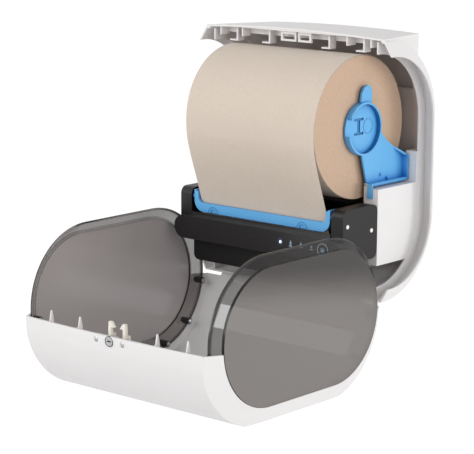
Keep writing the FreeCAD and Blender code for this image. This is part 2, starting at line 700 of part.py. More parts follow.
# Blue guide: a shallow U across the front with a side wing on each end plate's inner face
GUIDE_LOW = -67
GUIDE_LIP = -55.3
guide_front = ("-cheek_front + 2", "-cheek_front + 5.5")
guide = [cut("guide_u", rounded(
    "guide_outer", box("guide_block", (-107, 107), guide_front, (GUIDE_LOW, -41.5)), 14,
    lower_corners(Vector(0, 1, 0), GUIDE_LOW)), [rounded(
        "guide_inner", box("guide_gap", (-100.5, 100.5), (-165, -150), (GUIDE_LIP, -30)), 7,
        lower_corners(Vector(0, 1, 0), GUIDE_LIP))])]
relief = [rod("finger_notch_%d" % index, 4.5, "y", -162, -160, across, GUIDE_LOW + 0.5)
          for index, across in enumerate((-76, 65))]
for side, word in SIDES:
    guide.append(box(word + "_guide_wing", mirrored(side, 104, 107), (-161, -138), (-53, -40)))
    guide.append(box(word + "_guide_foot", mirrored(side, 106, "cheek_in - 0.05"), (-160, -142),
                     (-50, -46)))
keep("paper_guide", cut("guide_cut", join("guide_solid", guide), relief))

# Control panel with rounded ends, its feed button, lamps, sensor and board
panel_middle = "(panel_top + panel_bottom) / 2"
panel_round = "(panel_top - panel_bottom) / 2"
panel_parts = [box("panel_bar", ("-panel_half + " + panel_round, "panel_half - " + panel_round),
                   ("-panel_front", "-panel_back"), ("panel_bottom", "panel_top")),
               box("panel_riser", (-109.5, 109.5), ("-panel_back - 0.2", "-panel_back + 1.5"),
                   ("panel_top - 2", "panel_top + 4.4"))]
for side, word in SIDES:
    centre = mirrored(side, "panel_half - " + panel_round, "panel_half")[0 if side > 0 else 1]
    panel_parts.append(rod(word + "_panel_end", panel_round, "y", "-panel_front", "-panel_back", centre,
                           panel_middle))
LAMPS = range(4)
SENSOR_X = (-13, -1, 11)
panel_tools = [
    box("panel_room", (-108, 114), ("-panel_front + 2", "-panel_back + 1"),
        ("panel_bottom + 2.5", "panel_top - 2.5")),
    rod("button_hole", "button_radius + 0.35", "y", "-panel_front - 1", "-panel_front + 3", "button_x",
        "button_z"),
]
for index in LAMPS:
    panel_tools.append(rod("lamp_hole_%d" % index, "lamp_radius + 0.02", "y", "-panel_front - 1",
                           "-panel_front + 3",
                           "lamp_x + %d * lamp_pitch" % index, "button_z + 1.5"))
for index, across in enumerate(SENSOR_X):
    panel_tools.append(rod("sensor_hole_%d" % index, "lamp_radius - 0.38", "y", "-panel_front - 1",
                           "-panel_front + 3", across, "button_z - 1"))
keep("control_panel", cut("panel_cut", join("panel_solid", panel_parts), panel_tools))
keep("feed_button", join("button_solid", [
    rod("button_cap", "button_radius", "y", "-panel_front - 0.6", "-panel_front + 2.4", "button_x",
        "button_z"),
    rod("button_skirt", "button_radius + 1.4", "y", "-panel_front + 2.4", "-panel_front + 3.4",
        "button_x", "button_z"),
]))
keep("lamp_lenses", group("lamp_group", [
    rod("lamp_lens_%d" % index, "lamp_radius", "y", "-panel_front - 0.1", "-panel_front + 3.4",
        "lamp_x + %d * lamp_pitch" % index, "button_z + 1.5") for index in LAMPS]))
keep("sensor_lenses", group("sensor_group", [
    rod("sensor_lens_%d" % index, "lamp_radius - 0.4", "y", "-panel_front - 0.1", "-panel_front + 3.4",
        across, "button_z - 1") for index, across in enumerate(SENSOR_X)]))
keep("circuit_board", box("board", (-60, 113), ("-panel_back - 3", "-panel_back - 1.4"), (-98, -75)))

# Rubber drive roller with its shaft and gear, and the pinch roller
keep("drive_shaft", rod("drive_rod", "shaft_radius", "x", "-cheek_in - 3", "gear_x + gear_width + 1",
                        "-drive_depth", "drive_height"))
sleeves = []
for index in range(3):
    start = "-drive_half + %d * (drive_half * 2 + 8) / 3" % index
    sleeves.append(tube("sleeve_%d" % index, "drive_radius", "shaft_radius", "x", start,
                        "%s + (drive_half * 2 - 16) / 3" % start, "-drive_depth", "drive_height"))
keep("drive_rubber", group("sleeve_group", sleeves))
keep("pinch_roller", join("pinch_solid", [
    rod("pinch_barrel", "pinch_radius", "x", "-drive_half", "drive_half", "-pinch_depth", "drive_height"),
    rod("pinch_shaft", "pinch_shaft_radius", "x", "-cheek_in - 2", "cheek_in + 2", "-pinch_depth",
        "drive_height"),
]))


def gear(name, count, first, second, bore, phase):
    """Spur gear about an X axis, with straight-flanked teeth."""
    teeth_count = int(number(count))
    size = number("gear_module")
    pitch = size * teeth_count / 2
    step = 2 * math.pi / teeth_count
    ring = ((pitch - 1.15 * size, 0.36), (pitch, 0.225), (pitch + 0.8 * size, 0.1))
    points = []
    for index in range(teeth_count):
        centre = phase + index * step
        for radius, half in ring:
            points.append((radius, centre - half * step))
        for radius, half in reversed(ring):
            points.append((radius, centre + half * step))
    corners = [Vector(0, radius * math.cos(angle), radius * math.sin(angle)) for radius, angle in points]
    face = Part.Face(Part.makePolygon(corners + corners[:1]))
    width = number("gear_width")
    wheel = doc.addObject("Part::Feature", name)
    wheel.Shape = face.extrude(Vector(width, 0, 0)).cut(Part.makeCylinder(bore, width, Vector(),
                                                                          Vector(1, 0, 0)))
    return place(wheel, "gear_x", first, second)


MESH_ANGLE = math.atan2(number("motor_height - drive_height"), number("drive_depth - motor_depth"))
HALF_TOOTH = math.pi / number("motor_teeth")
MOTOR_SHAFT = 2.5
keep("drive_gear", gear("drive_wheel", "drive_teeth", "-drive_depth", "drive_height",
                        number("shaft_radius"), MESH_ANGLE))
keep("motor_gear", gear("motor_wheel", "motor_teeth", "-motor_depth", "motor_height", MOTOR_SHAFT,
                        MESH_ANGLE + math.pi + HALF_TOOTH))
keep("gear_motor", rod("motor_can", "motor_radius", "x", 50, "cheek_in - 0.4", "-motor_depth",
                       "motor_height"))
keep("motor_shaft", rod("motor_rod", MOTOR_SHAFT, "x", "cheek_in - 0.4", "gear_x + gear_width",
                        "-motor_depth",
                        "motor_height"))


def tray_corner(edge):
    """Test for the edge of the battery tray nearest the rounded back of the housing."""
    ends = edge.Vertexes
    low = runs_along(Vector(1, 0, 0))(edge) and ends[0].Point.z < -100
    return low and ends[0].Point.y > -50


# Battery tray under the roll, with four cells, contacts and a clipped lid
CELL_ROWS = (-70.5, -33.5)
CELL_Z = -87.6
tray_block = box("tray_block", (-72, 72), (-91, -13), (-107, -68.5))
tray_room = box("tray_room", (-69.5, 69.5), (-88.5, -15.5), (-104.5, -60))
keep("battery_tray", cut("tray_cut", join("tray_solid", [
    rounded("tray_round", tray_block, 14, tray_corner),
    box("tray_stay_left", (-46, -40), (-14, "-wall - 1.9"), (-76, -70)),
    box("tray_stay_right", (40, 46), (-14, "-wall - 1.9"), (-76, -70)),
]), [rounded("tray_hollow", tray_room, 11.5, tray_corner)]))
keep("battery_cells", group("cell_group", [
    rod("cell_%d_%d" % (column, row_index), "cell_radius", "x", start, "%d + cell_length" % start,
        depth, CELL_Z)
    for column, start in enumerate((-61, 1)) for row_index, depth in enumerate(CELL_ROWS)]))
keep("battery_contacts", group("contact_group", [
    box("contact_%d_%d" % (index, end), (end * 65.5 - 0.4, end * 65.5 + 0.4), (depth - 8, depth + 8),
        (CELL_Z - 8, CELL_Z + 8))
    for index, depth in enumerate(CELL_ROWS) for end in (-1, 1)]))
keep("battery_lid", join("lid_solid", [
    box("lid_plate", (-72, 72), (-91, -13), (-68.4, -66.4)),
    box("lid_grip", (-14, 14), (-93, -90), (-68.4, -62.5)),
]))

# Front cover: crowned shell with fins, latch rails, paper exit and hinge knuckles
FINS = (-103, -56, 65, 111)
FIN_LINE = ((-111, 149), (-111, 154.5), (-103, 154.5), (-92, 152.3), (-92, 151.2), (-103, 149))
SCREW_ANGLES = (98, 135.6, 167)
LATCH_RAILS = ((-38, -34), (37, 41))
LATCH_DEPTH = (-121, -109.6)
HINGE_BEADS = ((-112, -92.5), (-55.5, 55.5), (92.5, 112))
LOCK_SCREWS = (-20.5, 20.5)
cover_ribs = []
for index, across in enumerate(FINS):
    cover_ribs.append(box("fin_root_%d" % index, (across - 1, across + 1),
                          ("-parting - 8", "-parting - 1"),
                          (149, 170)))
for index, rail in enumerate(LATCH_RAILS):
    cover_ribs.append(box("latch_rail_%d" % index, rail, LATCH_DEPTH, (141.8, 170)))
cover = [
    cut("cover_walls", front_form("front_outer", "0", "-mid_depth + 6"), [
        front_form("front_inner", "wall", "-mid_depth + 12"),
        window_prism("front_opening", "rim_radius", "-rim_x - 5", "rim_x + 5"),
        box("cover_joint", (-200, 200), ("-parting - parting_gap", 60), (-250, 250)),
        *[box("cover_hinge_room_" + word, mirrored(side, *HINGE_ROOM), ("-hinge_depth - 6", 0),
              (-170, -150)) for side, word in SIDES],
        box("paper_exit", (-108, 108), (-166, -138), (-170, -130)),
        rod("lock_hole", "lock_radius + 0.1", "z", 140, 170, 0, "-lock_depth"),
        *[rod("lock_screw_hole_%d" % index, 1.45, "z", 140, 170, across, "-lock_depth")
          for index, across in enumerate(LOCK_SCREWS)],
        *[rod("lock_screw_seat_%d" % index, 2.5, "z", 161.3, 170, across, "-lock_depth")
          for index, across in enumerate(LOCK_SCREWS)],
    ]),
    common("fitted_cover_ribs", [join("front_ribs", cover_ribs),
                                 front_form("front_fit", 1.2, "-mid_depth + 6")]),
]
for index, across in enumerate(FINS):
    cover.append(extrude("fin_%d" % index, polygon("fin_line_%d" % index, YZ_PLANE, FIN_LINE),
                         Vector(1, 0, 0), across - 1, across + 1))
for index, span in enumerate(HINGE_BEADS):
    cover.append(rod("hinge_bead_%d" % index, 2.7, "x", *span, "-hinge_depth", "-hinge_drop"))
cover_holes = []
window_spots = []
for end in (1, -1):
    for angle in SCREW_ANGLES:
        window_spots.append(("-mid_depth + screw_circle * cos(%s)" % angle,
                             "%d * (window_half + screw_circle * sin(%s))" % (end, angle)))
for side, word in SIDES:
    span = mirrored(side, *COVER_KNUCKLE)
    cover.append(rod("cover_knuckle_" + word, "knuckle_radius", "x", *span, "-hinge_depth",
                     "-hinge_drop"))
    cover.append(box("cover_knuckle_arm_" + word, span, ("-hinge_depth - 12", "-hinge_depth"),
                     ("-hinge_drop - 3", "-hinge_drop + 2.4")))
    cover.append(box("stop_lug_" + word, span, ("-hinge_depth - 5", "-hinge_depth + 2.95"),
                     ("-hinge_drop - 10", "-hinge_drop - 2")))
    cover_holes.append(rod("cover_pin_hole_" + word, "hinge_pin_radius + 0.05", "x",
                           *mirrored(side, COVER_KNUCKLE[0] - 2, HOUSING_KNUCKLE[1] + 2),
                           "-hinge_depth", "-hinge_drop"))
    for index, (depth, height) in enumerate(window_spots):
        cover_holes.append(rod("%s_shell_hole_%d" % (word, index), "screw_radius + 0.02", "x",
                               *mirrored(side, "ring_edge_x - 2", "ring_edge_x + 5.5"), depth, height))
keep("cover_shell", swing(cut("cover_drilled", join("cover_solid", cover), cover_holes)))
keep("hinge_pins", group("hinge_pin_group", [
    rod("hinge_pin_" + word, "hinge_pin_radius", "x",
        *mirrored(side, COVER_KNUCKLE[0] - 0.5, HOUSING_KNUCKLE[1] - 0.5), "-hinge_depth", "-hinge_drop")
    for side, word in SIDES]))

# Smoked side windows: flat face, short step and sloped ring screwed to the cover
BOSS_START = 131.4
HEAD_START = 129.6
for side, word in SIDES:
    bosses = []
    cores = []
    for index, (depth, height) in enumerate(window_spots):
        bosses.append(rod("%s_boss_%d" % (word, index), "screw_radius * 2 + 1.2", "x",
                          *mirrored(side, BOSS_START, "ring_back_x + 1.2"), depth, height))
        cores.append(rod("%s_boss_core_%d" % (word, index), "screw_radius * 2 + 1.2", "x",
                         *mirrored(side, BOSS_START - 1, "window_face_x"), depth, height))
    outer = join(word + "_window_outer", bosses + [
        window_prism(word + "_face_prism", "window_radius",
                     *mirrored(side, "ring_back_x", "window_face_x")),
        sloped_window(word + "_ring_outer", side,
                      (("rim_radius", "ring_top_x"), ("ring_radius", "ring_edge_x"),
                                                   ("ring_radius", "ring_back_x"))),
    ])
    inner = join(word + "_window_inner", [
        window_prism(word + "_inner_prism", "window_radius - pane",
                     *mirrored(side, "ring_back_x - 2", "window_face_x - pane")),
        sloped_window(word + "_ring_inner", side, (("window_radius - pane", "ring_top_x - 0.75"),
                                                   ("ring_radius + 2", "ring_back_x - 2.1"))),
    ])
    tools = [cut(word + "_window_hollow", inner, cores)]
    screws = []
    for index, (depth, height) in enumerate(window_spots):
        tools.append(rod("%s_ring_hole_%d" % (word, index), "screw_radius + 0.1", "x",
                         *mirrored(side, BOSS_START - 1, "rim_x"), depth, height))
        screws.append(join("%s_screw_%d" % (word, index), [
            rod("%s_screw_head_%d" % (word, index), "screw_radius * 2", "x",
                *mirrored(side, HEAD_START, BOSS_START), depth, height),
            rod("%s_screw_shank_%d" % (word, index), "screw_radius", "x",
                *mirrored(side, BOSS_START, "ring_edge_x + 5.4"), depth, height),
        ]))
    keep(word + "_window", swing(cut(word + "_window_cut", outer, tools)))
    keep(word + "_window_screws", swing(group(word + "_screw_group", screws)))

# Lock barrel in the cover's top, and the two-hooked latch plate that it slides
LATCH_TURN = 45
HOOKS = ((-9.5, 1), (17.5, -1))
pin_x = "latch_throw * cos(%d)" % (LATCH_TURN + 180)
pin_y = "-lock_depth + latch_throw * sin(%d)" % (LATCH_TURN + 180)
keep("lock_barrel", swing(cut("barrel_cut", join("barrel_solid", [
    rod("barrel_head", "lock_radius", "z", 155, 162.2, 0, "-lock_depth"),
    rod("barrel_body", "lock_body_radius", "z", 148.4, 155.5, 0, "-lock_depth"),
    rod("barrel_pin", 1.4, "z", 143.6, 149, pin_x, pin_y),
]), [box("key_slot", (-3.2, 3.2), ("-lock_depth - 0.8", "-lock_depth + 0.8"), (158, 163))])))
latch = [box("latch_bar", (-31, 31), (-119, -109.8), (145, 147.8))]
for index, (edge, way) in enumerate(HOOKS):
    stem = sorted((edge, edge + 4.5 * way))
    barb = ((edge, -95.4), (edge + 9.2 * way, -95.4), (edge + 4.5 * way, -89), (edge + 0.6 * way, -89))
    latch.append(box("hook_tongue_%d" % index, stem, (-110, -103.2), (145, 147.8)))
    latch.append(box("hook_riser_%d" % index, stem, (-105.6, -103.2), (145, 153.4)))
    latch.append(box("hook_bar_%d" % index, stem, (-105.6, -95), (149.6, 153.4)))
    latch.append(extrude("hook_barb_%d" % index, polygon("hook_barb_line_%d" % index, XY_PLANE, barb),
                         Vector(0, 0, 1), 149.6, 153.4))
keep("latch_plate", swing(cut("latch_cut", join("latch_solid", latch), [
    box("pin_slot", (pin_x + " - 1.75", pin_x + " + 1.75"), (-115, -104), (140, 150)),
])))
keep("latch_cover", swing(cut("latch_cover_cut", box(
    "latch_cover_block", (LATCH_RAILS[0][1] + 0.1, LATCH_RAILS[1][0] - 0.1), LATCH_DEPTH,
    (141.8, 144.8)), [
    box("latch_cover_slot", (-6, 6), (-115, -100), (143, 150)),
])))
keep("lock_screws", swing(group("lock_screw_group", [
    join("lock_screw_%d" % index, [
        rod("lock_screw_head_%d" % index, 2.4, "z", 161.4, 162.8, across, "-lock_depth"),
        rod("lock_screw_shank_%d" % index, 1.4, "z", 149, 161.5, across, "-lock_depth"),
    ]) for index, across in enumerate(LOCK_SCREWS)])))

doc.recompute()
for thing in doc.Objects:
    if "Invalid" in thing.State or "Error" in thing.State:
        raise RuntimeError("%s did not build" % thing.Name)
for name, thing in nodes.items():
    if thing.Shape.isNull() or not thing.Shape.isValid():
        raise RuntimeError("%s has no sound shape" % name)

os.makedirs("parts", exist_ok=True)
for name, thing in nodes.items():
    thing.Shape.exportStep("parts/%s.step" % name)
    bounds = thing.Shape.BoundBox
    print("%-22s solids %2d  volume %9.0f  x %7.1f %7.1f  y %7.1f %7.1f  z %7.1f %7.1f" % (
        name, len(thing.Shape.Solids), thing.Shape.Volume, bounds.XMin, bounds.XMax,
        bounds.YMin, bounds.YMax, bounds.ZMin, bounds.ZMax))
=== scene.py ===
"""Automatic roll towel dispenser with its front cover swung down: looks, stage and camera."""

import json
import math

import bmesh
import bpy
from mathutils import Matrix, Vector

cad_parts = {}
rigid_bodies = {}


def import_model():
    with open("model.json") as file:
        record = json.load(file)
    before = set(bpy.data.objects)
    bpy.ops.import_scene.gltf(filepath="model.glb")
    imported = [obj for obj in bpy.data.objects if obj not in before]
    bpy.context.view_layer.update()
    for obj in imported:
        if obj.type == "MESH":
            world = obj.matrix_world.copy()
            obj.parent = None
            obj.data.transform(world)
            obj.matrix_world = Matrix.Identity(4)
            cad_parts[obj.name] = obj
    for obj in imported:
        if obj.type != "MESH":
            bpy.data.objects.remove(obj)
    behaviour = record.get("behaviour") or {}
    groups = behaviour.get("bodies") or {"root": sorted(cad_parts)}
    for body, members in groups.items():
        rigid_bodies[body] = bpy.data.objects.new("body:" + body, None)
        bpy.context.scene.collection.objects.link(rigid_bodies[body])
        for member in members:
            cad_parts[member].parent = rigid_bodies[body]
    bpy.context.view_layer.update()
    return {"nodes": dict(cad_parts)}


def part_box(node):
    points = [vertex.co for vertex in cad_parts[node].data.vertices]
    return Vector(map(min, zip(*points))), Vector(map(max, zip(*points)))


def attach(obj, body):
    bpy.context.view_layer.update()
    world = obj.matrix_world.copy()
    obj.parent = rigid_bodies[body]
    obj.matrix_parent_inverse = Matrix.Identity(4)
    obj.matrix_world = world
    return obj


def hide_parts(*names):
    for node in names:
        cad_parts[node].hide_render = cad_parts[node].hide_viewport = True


bl_info = {
    "name": "Roll towel dispenser",
    "version": (1, 0, 0),
    "blender": (4, 5, 0),
    "location": "View3D > Sidebar > Dispenser",
    "description": "Builds an automatic roll towel dispenser around its packed solids",
    "category": "Add Mesh",
}

for start_object in list(bpy.data.objects):
    bpy.data.objects.remove(start_object)
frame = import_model()

MM = 0.001
SIDES = ((-1, "left"), (1, "right"))

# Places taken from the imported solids
ROLL_LOW, ROLL_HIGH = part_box("paper_roll")
HUB = (ROLL_LOW + ROLL_HIGH) / 2
ROLL_RADIUS = (ROLL_HIGH.z - ROLL_LOW.z) / 2
ROLL_HALF = ROLL_HIGH.x
PANEL_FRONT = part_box("control_panel")[0].y
WINDOW_LOW, WINDOW_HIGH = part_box("right_window")
WINDOW_DEPTH = (WINDOW_LOW.y + WINDOW_HIGH.y) / 2
WINDOW_HEIGHT = (WINDOW_LOW.z + WINDOW_HIGH.z) / 2
WINDOW_STRAIGHT = (WINDOW_HIGH.y - WINDOW_LOW.y - WINDOW_HIGH.z + WINDOW_LOW.z) / 2
BUTTON_LOW, BUTTON_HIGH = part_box("feed_button")

# Lengths in mm that both the solids and the dressing use
CORE_RADIUS = 20.5
WINDOW_FACE_RADIUS = 80
CUP_FLOOR = 103.7               # outer face of an arm's cup floor, from the middle
CUP_RADIUS = 33
GUIDE_NOTCHES = (-76.0, 65.0)   # finger notches along the paper guide
LAMP_RADIUS = 1.6

FORWARD = Vector((0, -1, 0))    # from the wall towards the user

# The photo's camera: turn, tilt and roll in degrees, place in metres, focal length and
# middle of the view in pixels of the picture
PICTURE = (474, 454)
CAMERA_ANGLES = (41.29, 11.92, 0.2)
CAMERA_PLACE = (1.51945, -1.96481, 0.39340)
FOCAL_PIXELS = 1984.4
VIEW_MIDDLE = (219.91, 251.62)
SENSOR_WIDTH = 36.0


# Settings

class DispenserSizes(bpy.types.PropertyGroup):
    """Sizes and colours that a user may change."""

    edge_round: bpy.props.FloatProperty(
        name="Edge rounding", description="Width of the small round on moulded edges",
        default=0.6 * MM, min=0.0, unit="LENGTH")
    wrap_angle: bpy.props.FloatProperty(
        name="Outer turn", description="How far the last turn of paper goes round behind the roll",
        default=math.radians(150), subtype="ANGLE")
    paper_thick: bpy.props.FloatProperty(
        name="Paper thickness", description="Thickness of one towel layer",
        default=0.3 * MM, min=0.05 * MM, unit="LENGTH")
    screw_head: bpy.props.FloatProperty(
        name="Screw head", description="Radius of the window screws' heads",
        default=3.0 * MM, unit="LENGTH")
    white: bpy.props.StringProperty(
        name="White", description="Colour of the housing and cover in sRGB", default="#E2E0E0")
    blue: bpy.props.StringProperty(
        name="Blue", description="Colour of the roll arms and paper guide", default="#62AFE4")
    smoke: bpy.props.StringProperty(
        name="Smoke", description="Haze colour of the side windows", default="#99918F")
    kraft: bpy.props.StringProperty(
        name="Kraft", description="Colour of the towel paper", default="#D3C6B8")


def sizes():
    """The scene's own copy of the settings."""
    return bpy.context.scene.dispenser


# Materials

def linear(code, factor=1.0):
    """Turn an sRGB hex colour into linear RGBA, darkened by a factor if one is given."""
    parts = [int(code[index:index + 2], 16) / 255 for index in (1, 3, 5)]
    return tuple(factor * (part / 12.92 if part <= 0.04045 else ((part + 0.055) / 1.055) ** 2.4)
                 for part in parts) + (1.0,)


def feed(tree, node, inputs):
    """Give a node its values and links."""
    for name, value in inputs.items():
        if isinstance(value, bpy.types.NodeSocket):
            tree.links.new(value, node.inputs[name])
        else:
            node.inputs[name].default_value = value


def add(tree, kind, inputs=None, **settings):
    """Add a node with its settings, values and links."""
    node = tree.nodes.new(kind)
    for name, value in settings.items():
        setattr(node, name, value)
    feed(tree, node, inputs or {})
    return node


def maths(tree, operation, *values):
    """Result of a Math node."""
    return add(tree, "ShaderNodeMath", dict(enumerate(values)), operation=operation).outputs[0]


def noise(tree, where, scale, detail=2.0, **more):
    """Factor of a noise texture."""
    return add(tree, "ShaderNodeTexNoise", {
        "Vector": where, "Scale": scale, "Detail": detail, **more}).outputs["Fac"]


def mixed(tree, factor, first, second, blend="MIX"):
    """Colour between two colours."""
    return add(tree, "ShaderNodeMixRGB", {"Fac": factor, "Color1": first, "Color2": second},
               blend_type=blend).outputs["Color"]


def ranged(tree, value, start, end, low=0.0, high=1.0, smooth=False):
    """Value carried from one range to another."""
    return add(tree, "ShaderNodeMapRange", {
        "Value": value, "From Min": start, "From Max": end, "To Min": low, "To Max": high},
        interpolation_type="SMOOTHSTEP" if smooth else "LINEAR").outputs["Result"]


def bumped(tree, height, distance, strength, **more):
    """Normal of a bump map."""
    return add(tree, "ShaderNodeBump", {
        "Height": height, "Distance": distance, "Strength": strength, **more}).outputs["Normal"]


def cleared(holder):
    """Empty node tree of a material or world."""
    holder.use_nodes = True
    holder.node_tree.nodes.clear()
    return holder.node_tree


def blank(name):
    """A new material with its tree, shader and object coordinates."""
    material = bpy.data.materials.new(name)
    tree = cleared(material)
    shader = add(tree, "ShaderNodeBsdfPrincipled")
    add(tree, "ShaderNodeOutputMaterial", {"Surface": shader.outputs[0]})
    where = add(tree, "ShaderNodeTexCoord").outputs["Object"]
    return material, tree, shader, where


def moulded(name, colour, roughness, grain, depth, mottle, coat=0.0, ior=1.5, crevice_shade=None,
            reach=14.0, inside=None):
    """Injection moulding: fine even grain, slight mottling, edges that catch the light.

    grain, depth and reach are in mm. Two optional colours are painted shade: one mixed in by
    occlusion where walls stand close, the other on the back wall behind the roll, fading out
    towards its sides and its depth.
    """
    material, tree, shader, where = blank(name)
    tint = mixed(tree, noise(tree, where, 11.0, 3.0), linear(colour, 1 - mottle), linear(colour))
    if crevice_shade:
        # painted shade: a darker colour mixed in by occlusion where walls stand close
        shade = add(tree, "ShaderNodeAmbientOcclusion", {"Distance": reach * MM}, samples=8)
        tint = mixed(tree, ranged(tree, shade.outputs["AO"], 0.35, 0.95), linear(crevice_shade), tint)
    if inside:
        # painted shade on the back wall behind the roll, fading out towards its sides and towards
        # the front
        place = add(tree, "ShaderNodeSeparateXYZ", {0: where})
        inward = ranged(tree, place.outputs["Y"], -0.05, -0.01, smooth=True)
        sideways = maths(tree, "ABSOLUTE", place.outputs["X"])
        sideways = ranged(tree, sideways, 0.13, 0.105, smooth=True)
        tint = mixed(tree, ranged(tree, sideways, 0.0, 1.0, 0.0, inward), tint, linear(inside))
    fine = noise(tree, where, 1 / (grain * MM))
    edges = add(tree, "ShaderNodeBevel", {"Radius": 0.5 * MM}, samples=4)
    feed(tree, shader, {
        "Base Color": tint, "IOR": ior, "Coat Weight": coat, "Coat Roughness": 0.12,
        "Normal": bumped(tree, fine, depth * MM, 0.6, Normal=edges.outputs["Normal"]),
        "Roughness": ranged(tree, fine, 0.0, 1.0, roughness * 0.88, roughness * 1.12)})
    return material


def smoked_polycarbonate(name, tint, clear, grazing, painted_shade_tint, outlined=False):
    """Tinted polycarbonate: clear gloss, deeper edge-on and along its rim, and towards the hinge
    through a second tint of painted shade.
    """
    material, tree, shader, where = blank(name)
    place = add(tree, "ShaderNodeSeparateXYZ", {0: where})
    level = maths(tree, "MULTIPLY_ADD", place.outputs["Y"], 0.15, place.outputs["Z"])
    level = maths(tree, "MULTIPLY_ADD", noise(tree, where, 7.0), 0.012, level)
    # painted shade: a second tint blended in by height, with depth
    shade = mixed(tree, ranged(tree, level, -0.17, -0.115, smooth=True), linear(tint),
                  linear(painted_shade_tint))
    rim = add(tree, "ShaderNodeLayerWeight", {"Blend": 0.5})
    thick = ranged(tree, rim.outputs["Facing"], 0.35, 0.9, clear, grazing)
    if outlined:
        offset = add(tree, "ShaderNodeVectorMath", {
            0: where, 1: (0.0, WINDOW_DEPTH, WINDOW_HEIGHT)}, operation="SUBTRACT")
        apart = add(tree, "ShaderNodeSeparateXYZ", {0: offset.outputs[0]})
        run = maths(tree, "SUBTRACT", maths(tree, "ABSOLUTE", apart.outputs["Y"]), WINDOW_STRAIGHT)
        joint = add(tree, "ShaderNodeCombineXYZ", {
            "X": maths(tree, "MAXIMUM", run, 0.0), "Y": apart.outputs["Z"]})
        reach = add(tree, "ShaderNodeVectorMath", {0: joint.outputs[0]}, operation="LENGTH")
        line = ranged(tree, reach.outputs["Value"], 89.2 * MM, 91.2 * MM, smooth=True)
        thick = ranged(tree, line, 0.0, 1.0, thick, 0.9)
        shade = mixed(tree, line, shade, linear("#1A1514"))
    # light on its way to the inside is held back less than the eye's view
    path = add(tree, "ShaderNodeLightPath")
    passed = maths(tree, "MULTIPLY_ADD", path.outputs["Is Shadow Ray"], -0.6, 1.0)
    feed(tree, shader, {
        "Base Color": shade, "Alpha": maths(tree, "MULTIPLY", thick, passed), "IOR": 1.58,
        "Roughness": ranged(tree, noise(tree, where, 160.0), 0.0, 1.0, 0.12, 0.2)})
    return material


def ramped(tree, factor, start, first, end, last):
    """Colour from a ramp with two stops."""
    ramp = add(tree, "ShaderNodeValToRGB", {"Fac": factor})
    for stop, place, colour in zip(ramp.color_ramp.elements, (start, end), (first, last)):
        stop.position = place
        stop.color = linear(colour)
    return ramp.outputs["Color"]


def towel_paper():
    """Brown hard-wound towel: short fibres, fine crepe lines across the width, no gloss."""
    material, tree, shader, where = blank("kraft_towel_paper")
    across = add(tree, "ShaderNodeMapping", {"Vector": where, "Scale": (160.0, 1100.0, 1100.0)})
    crepe = noise(tree, across.outputs[0], 1.0, 3.0)
    fibres = noise(tree, where, 520.0, 5.0, Roughness=0.7)
    flecks = ramped(tree, fibres, 0.30, "#C2B1A1", 0.52, sizes().kraft)
    cloudy = mixed(tree, noise(tree, where, 26.0, 4.0), linear("#D5C9BC"), linear("#CCBEAF"))
    feed(tree, shader, {
        "Base Color": mixed(tree, 0.55, cloudy, flecks),
        "Normal": bumped(tree, maths(tree, "ADD", crepe, fibres), 0.35 * MM, 0.5),
        "Roughness": 0.92, "Sheen Weight": 0.15, "Sheen Roughness": 0.6})
    return material


def wound_edge():
    """Cut end of the wound roll: rings of paper edges, drawn coarser than the real 0.1 mm."""
    material, tree, shader, where = blank("wound_paper_edge")
    centred = add(tree, "ShaderNodeMapping", {
        "Vector": where, "Location": (0.0, -HUB.y, -HUB.z), "Scale": (0.0, 1.0, 1.0)})
    reach = add(tree, "ShaderNodeVectorMath", {0: centred.outputs[0]}, operation="LENGTH")
    rings, bands = [add(tree, "ShaderNodeTexNoise", {
        "W": reach.outputs["Value"], "Scale": scale, "Detail": 2.0},
        noise_dimensions="1D").outputs["Fac"] for scale in (900.0, 130.0)]
    tone = maths(tree, "MULTIPLY", maths(tree, "ADD", rings, bands), 0.5)
    dust = add(tree, "ShaderNodeTexNoise", {"Vector": where, "Scale": 420.0, "Detail": 4.0})
    feed(tree, shader, {
        "Base Color": mixed(tree, 0.35, ramped(tree, tone, 0.36, "#C2A68F", 0.62, "#C5AA93"),
                            dust.outputs["Color"], "SOFT_LIGHT"),
        "Normal": bumped(tree, rings, 0.15 * MM, 0.5), "Roughness": 0.95})
    return material


def cardboard():
    """Spiral-wound grey-brown board: matte, with the seam of its winding."""
    material, tree, shader, where = blank("core_cardboard")
    spiral = add(tree, "ShaderNodeTexWave", {"Vector": where, "Scale": 18.0, "Distortion": 1.5},
                 bands_direction="DIAGONAL")
    fibres = add(tree, "ShaderNodeTexNoise", {"Vector": where, "Scale": 380.0, "Detail": 4.0})
    tone = mixed(tree, spiral.outputs["Fac"], linear("#8A6F55"), linear("#A98C6E"))
    feed(tree, shader, {
        "Base Color": mixed(tree, 0.3, tone, fibres.outputs["Color"], "SOFT_LIGHT"),
        "Normal": bumped(tree, fibres.outputs["Fac"], 0.2 * MM, 0.5), "Roughness": 0.9})
    return material


def metal(name, colour, roughness, streak):
    """Drawn or turned metal: streaks along its length, soft broken highlights."""
    material, tree, shader, where = blank(name)
    along = add(tree, "ShaderNodeMapping", {"Vector": where, "Scale": (60.0, streak, streak)})
    lines = noise(tree, along.outputs[0], 1.0, 3.0)
    feed(tree, shader, {
        "Base Color": mixed(tree, lines, linear(colour, 0.82), linear(colour)), "Metallic": 1.0,
        "Normal": bumped(tree, lines, 0.05 * MM, 0.3),
        "Roughness": ranged(tree, lines, 0.0, 1.0, roughness * 0.8, roughness * 1.25)})
    return material


def circuit_laminate():
    """Glass-epoxy board: green lacquer over faint copper tracks."""
    material, tree, shader, where = blank("circuit_laminate")
    tracks = add(tree, "ShaderNodeTexBrick", {
        "Vector": where, "Scale": 90.0, "Mortar Size": 0.03, "Color1": linear("#0F5A34"),
        "Color2": linear("#12643A"), "Mortar": linear("#2F8A58")})
    feed(tree, shader, {
        "Base Color": tracks.outputs["Color"], "Roughness": 0.35,
        "Normal": bumped(tree, tracks.outputs["Fac"], 0.05 * MM, 0.4)})
    return material


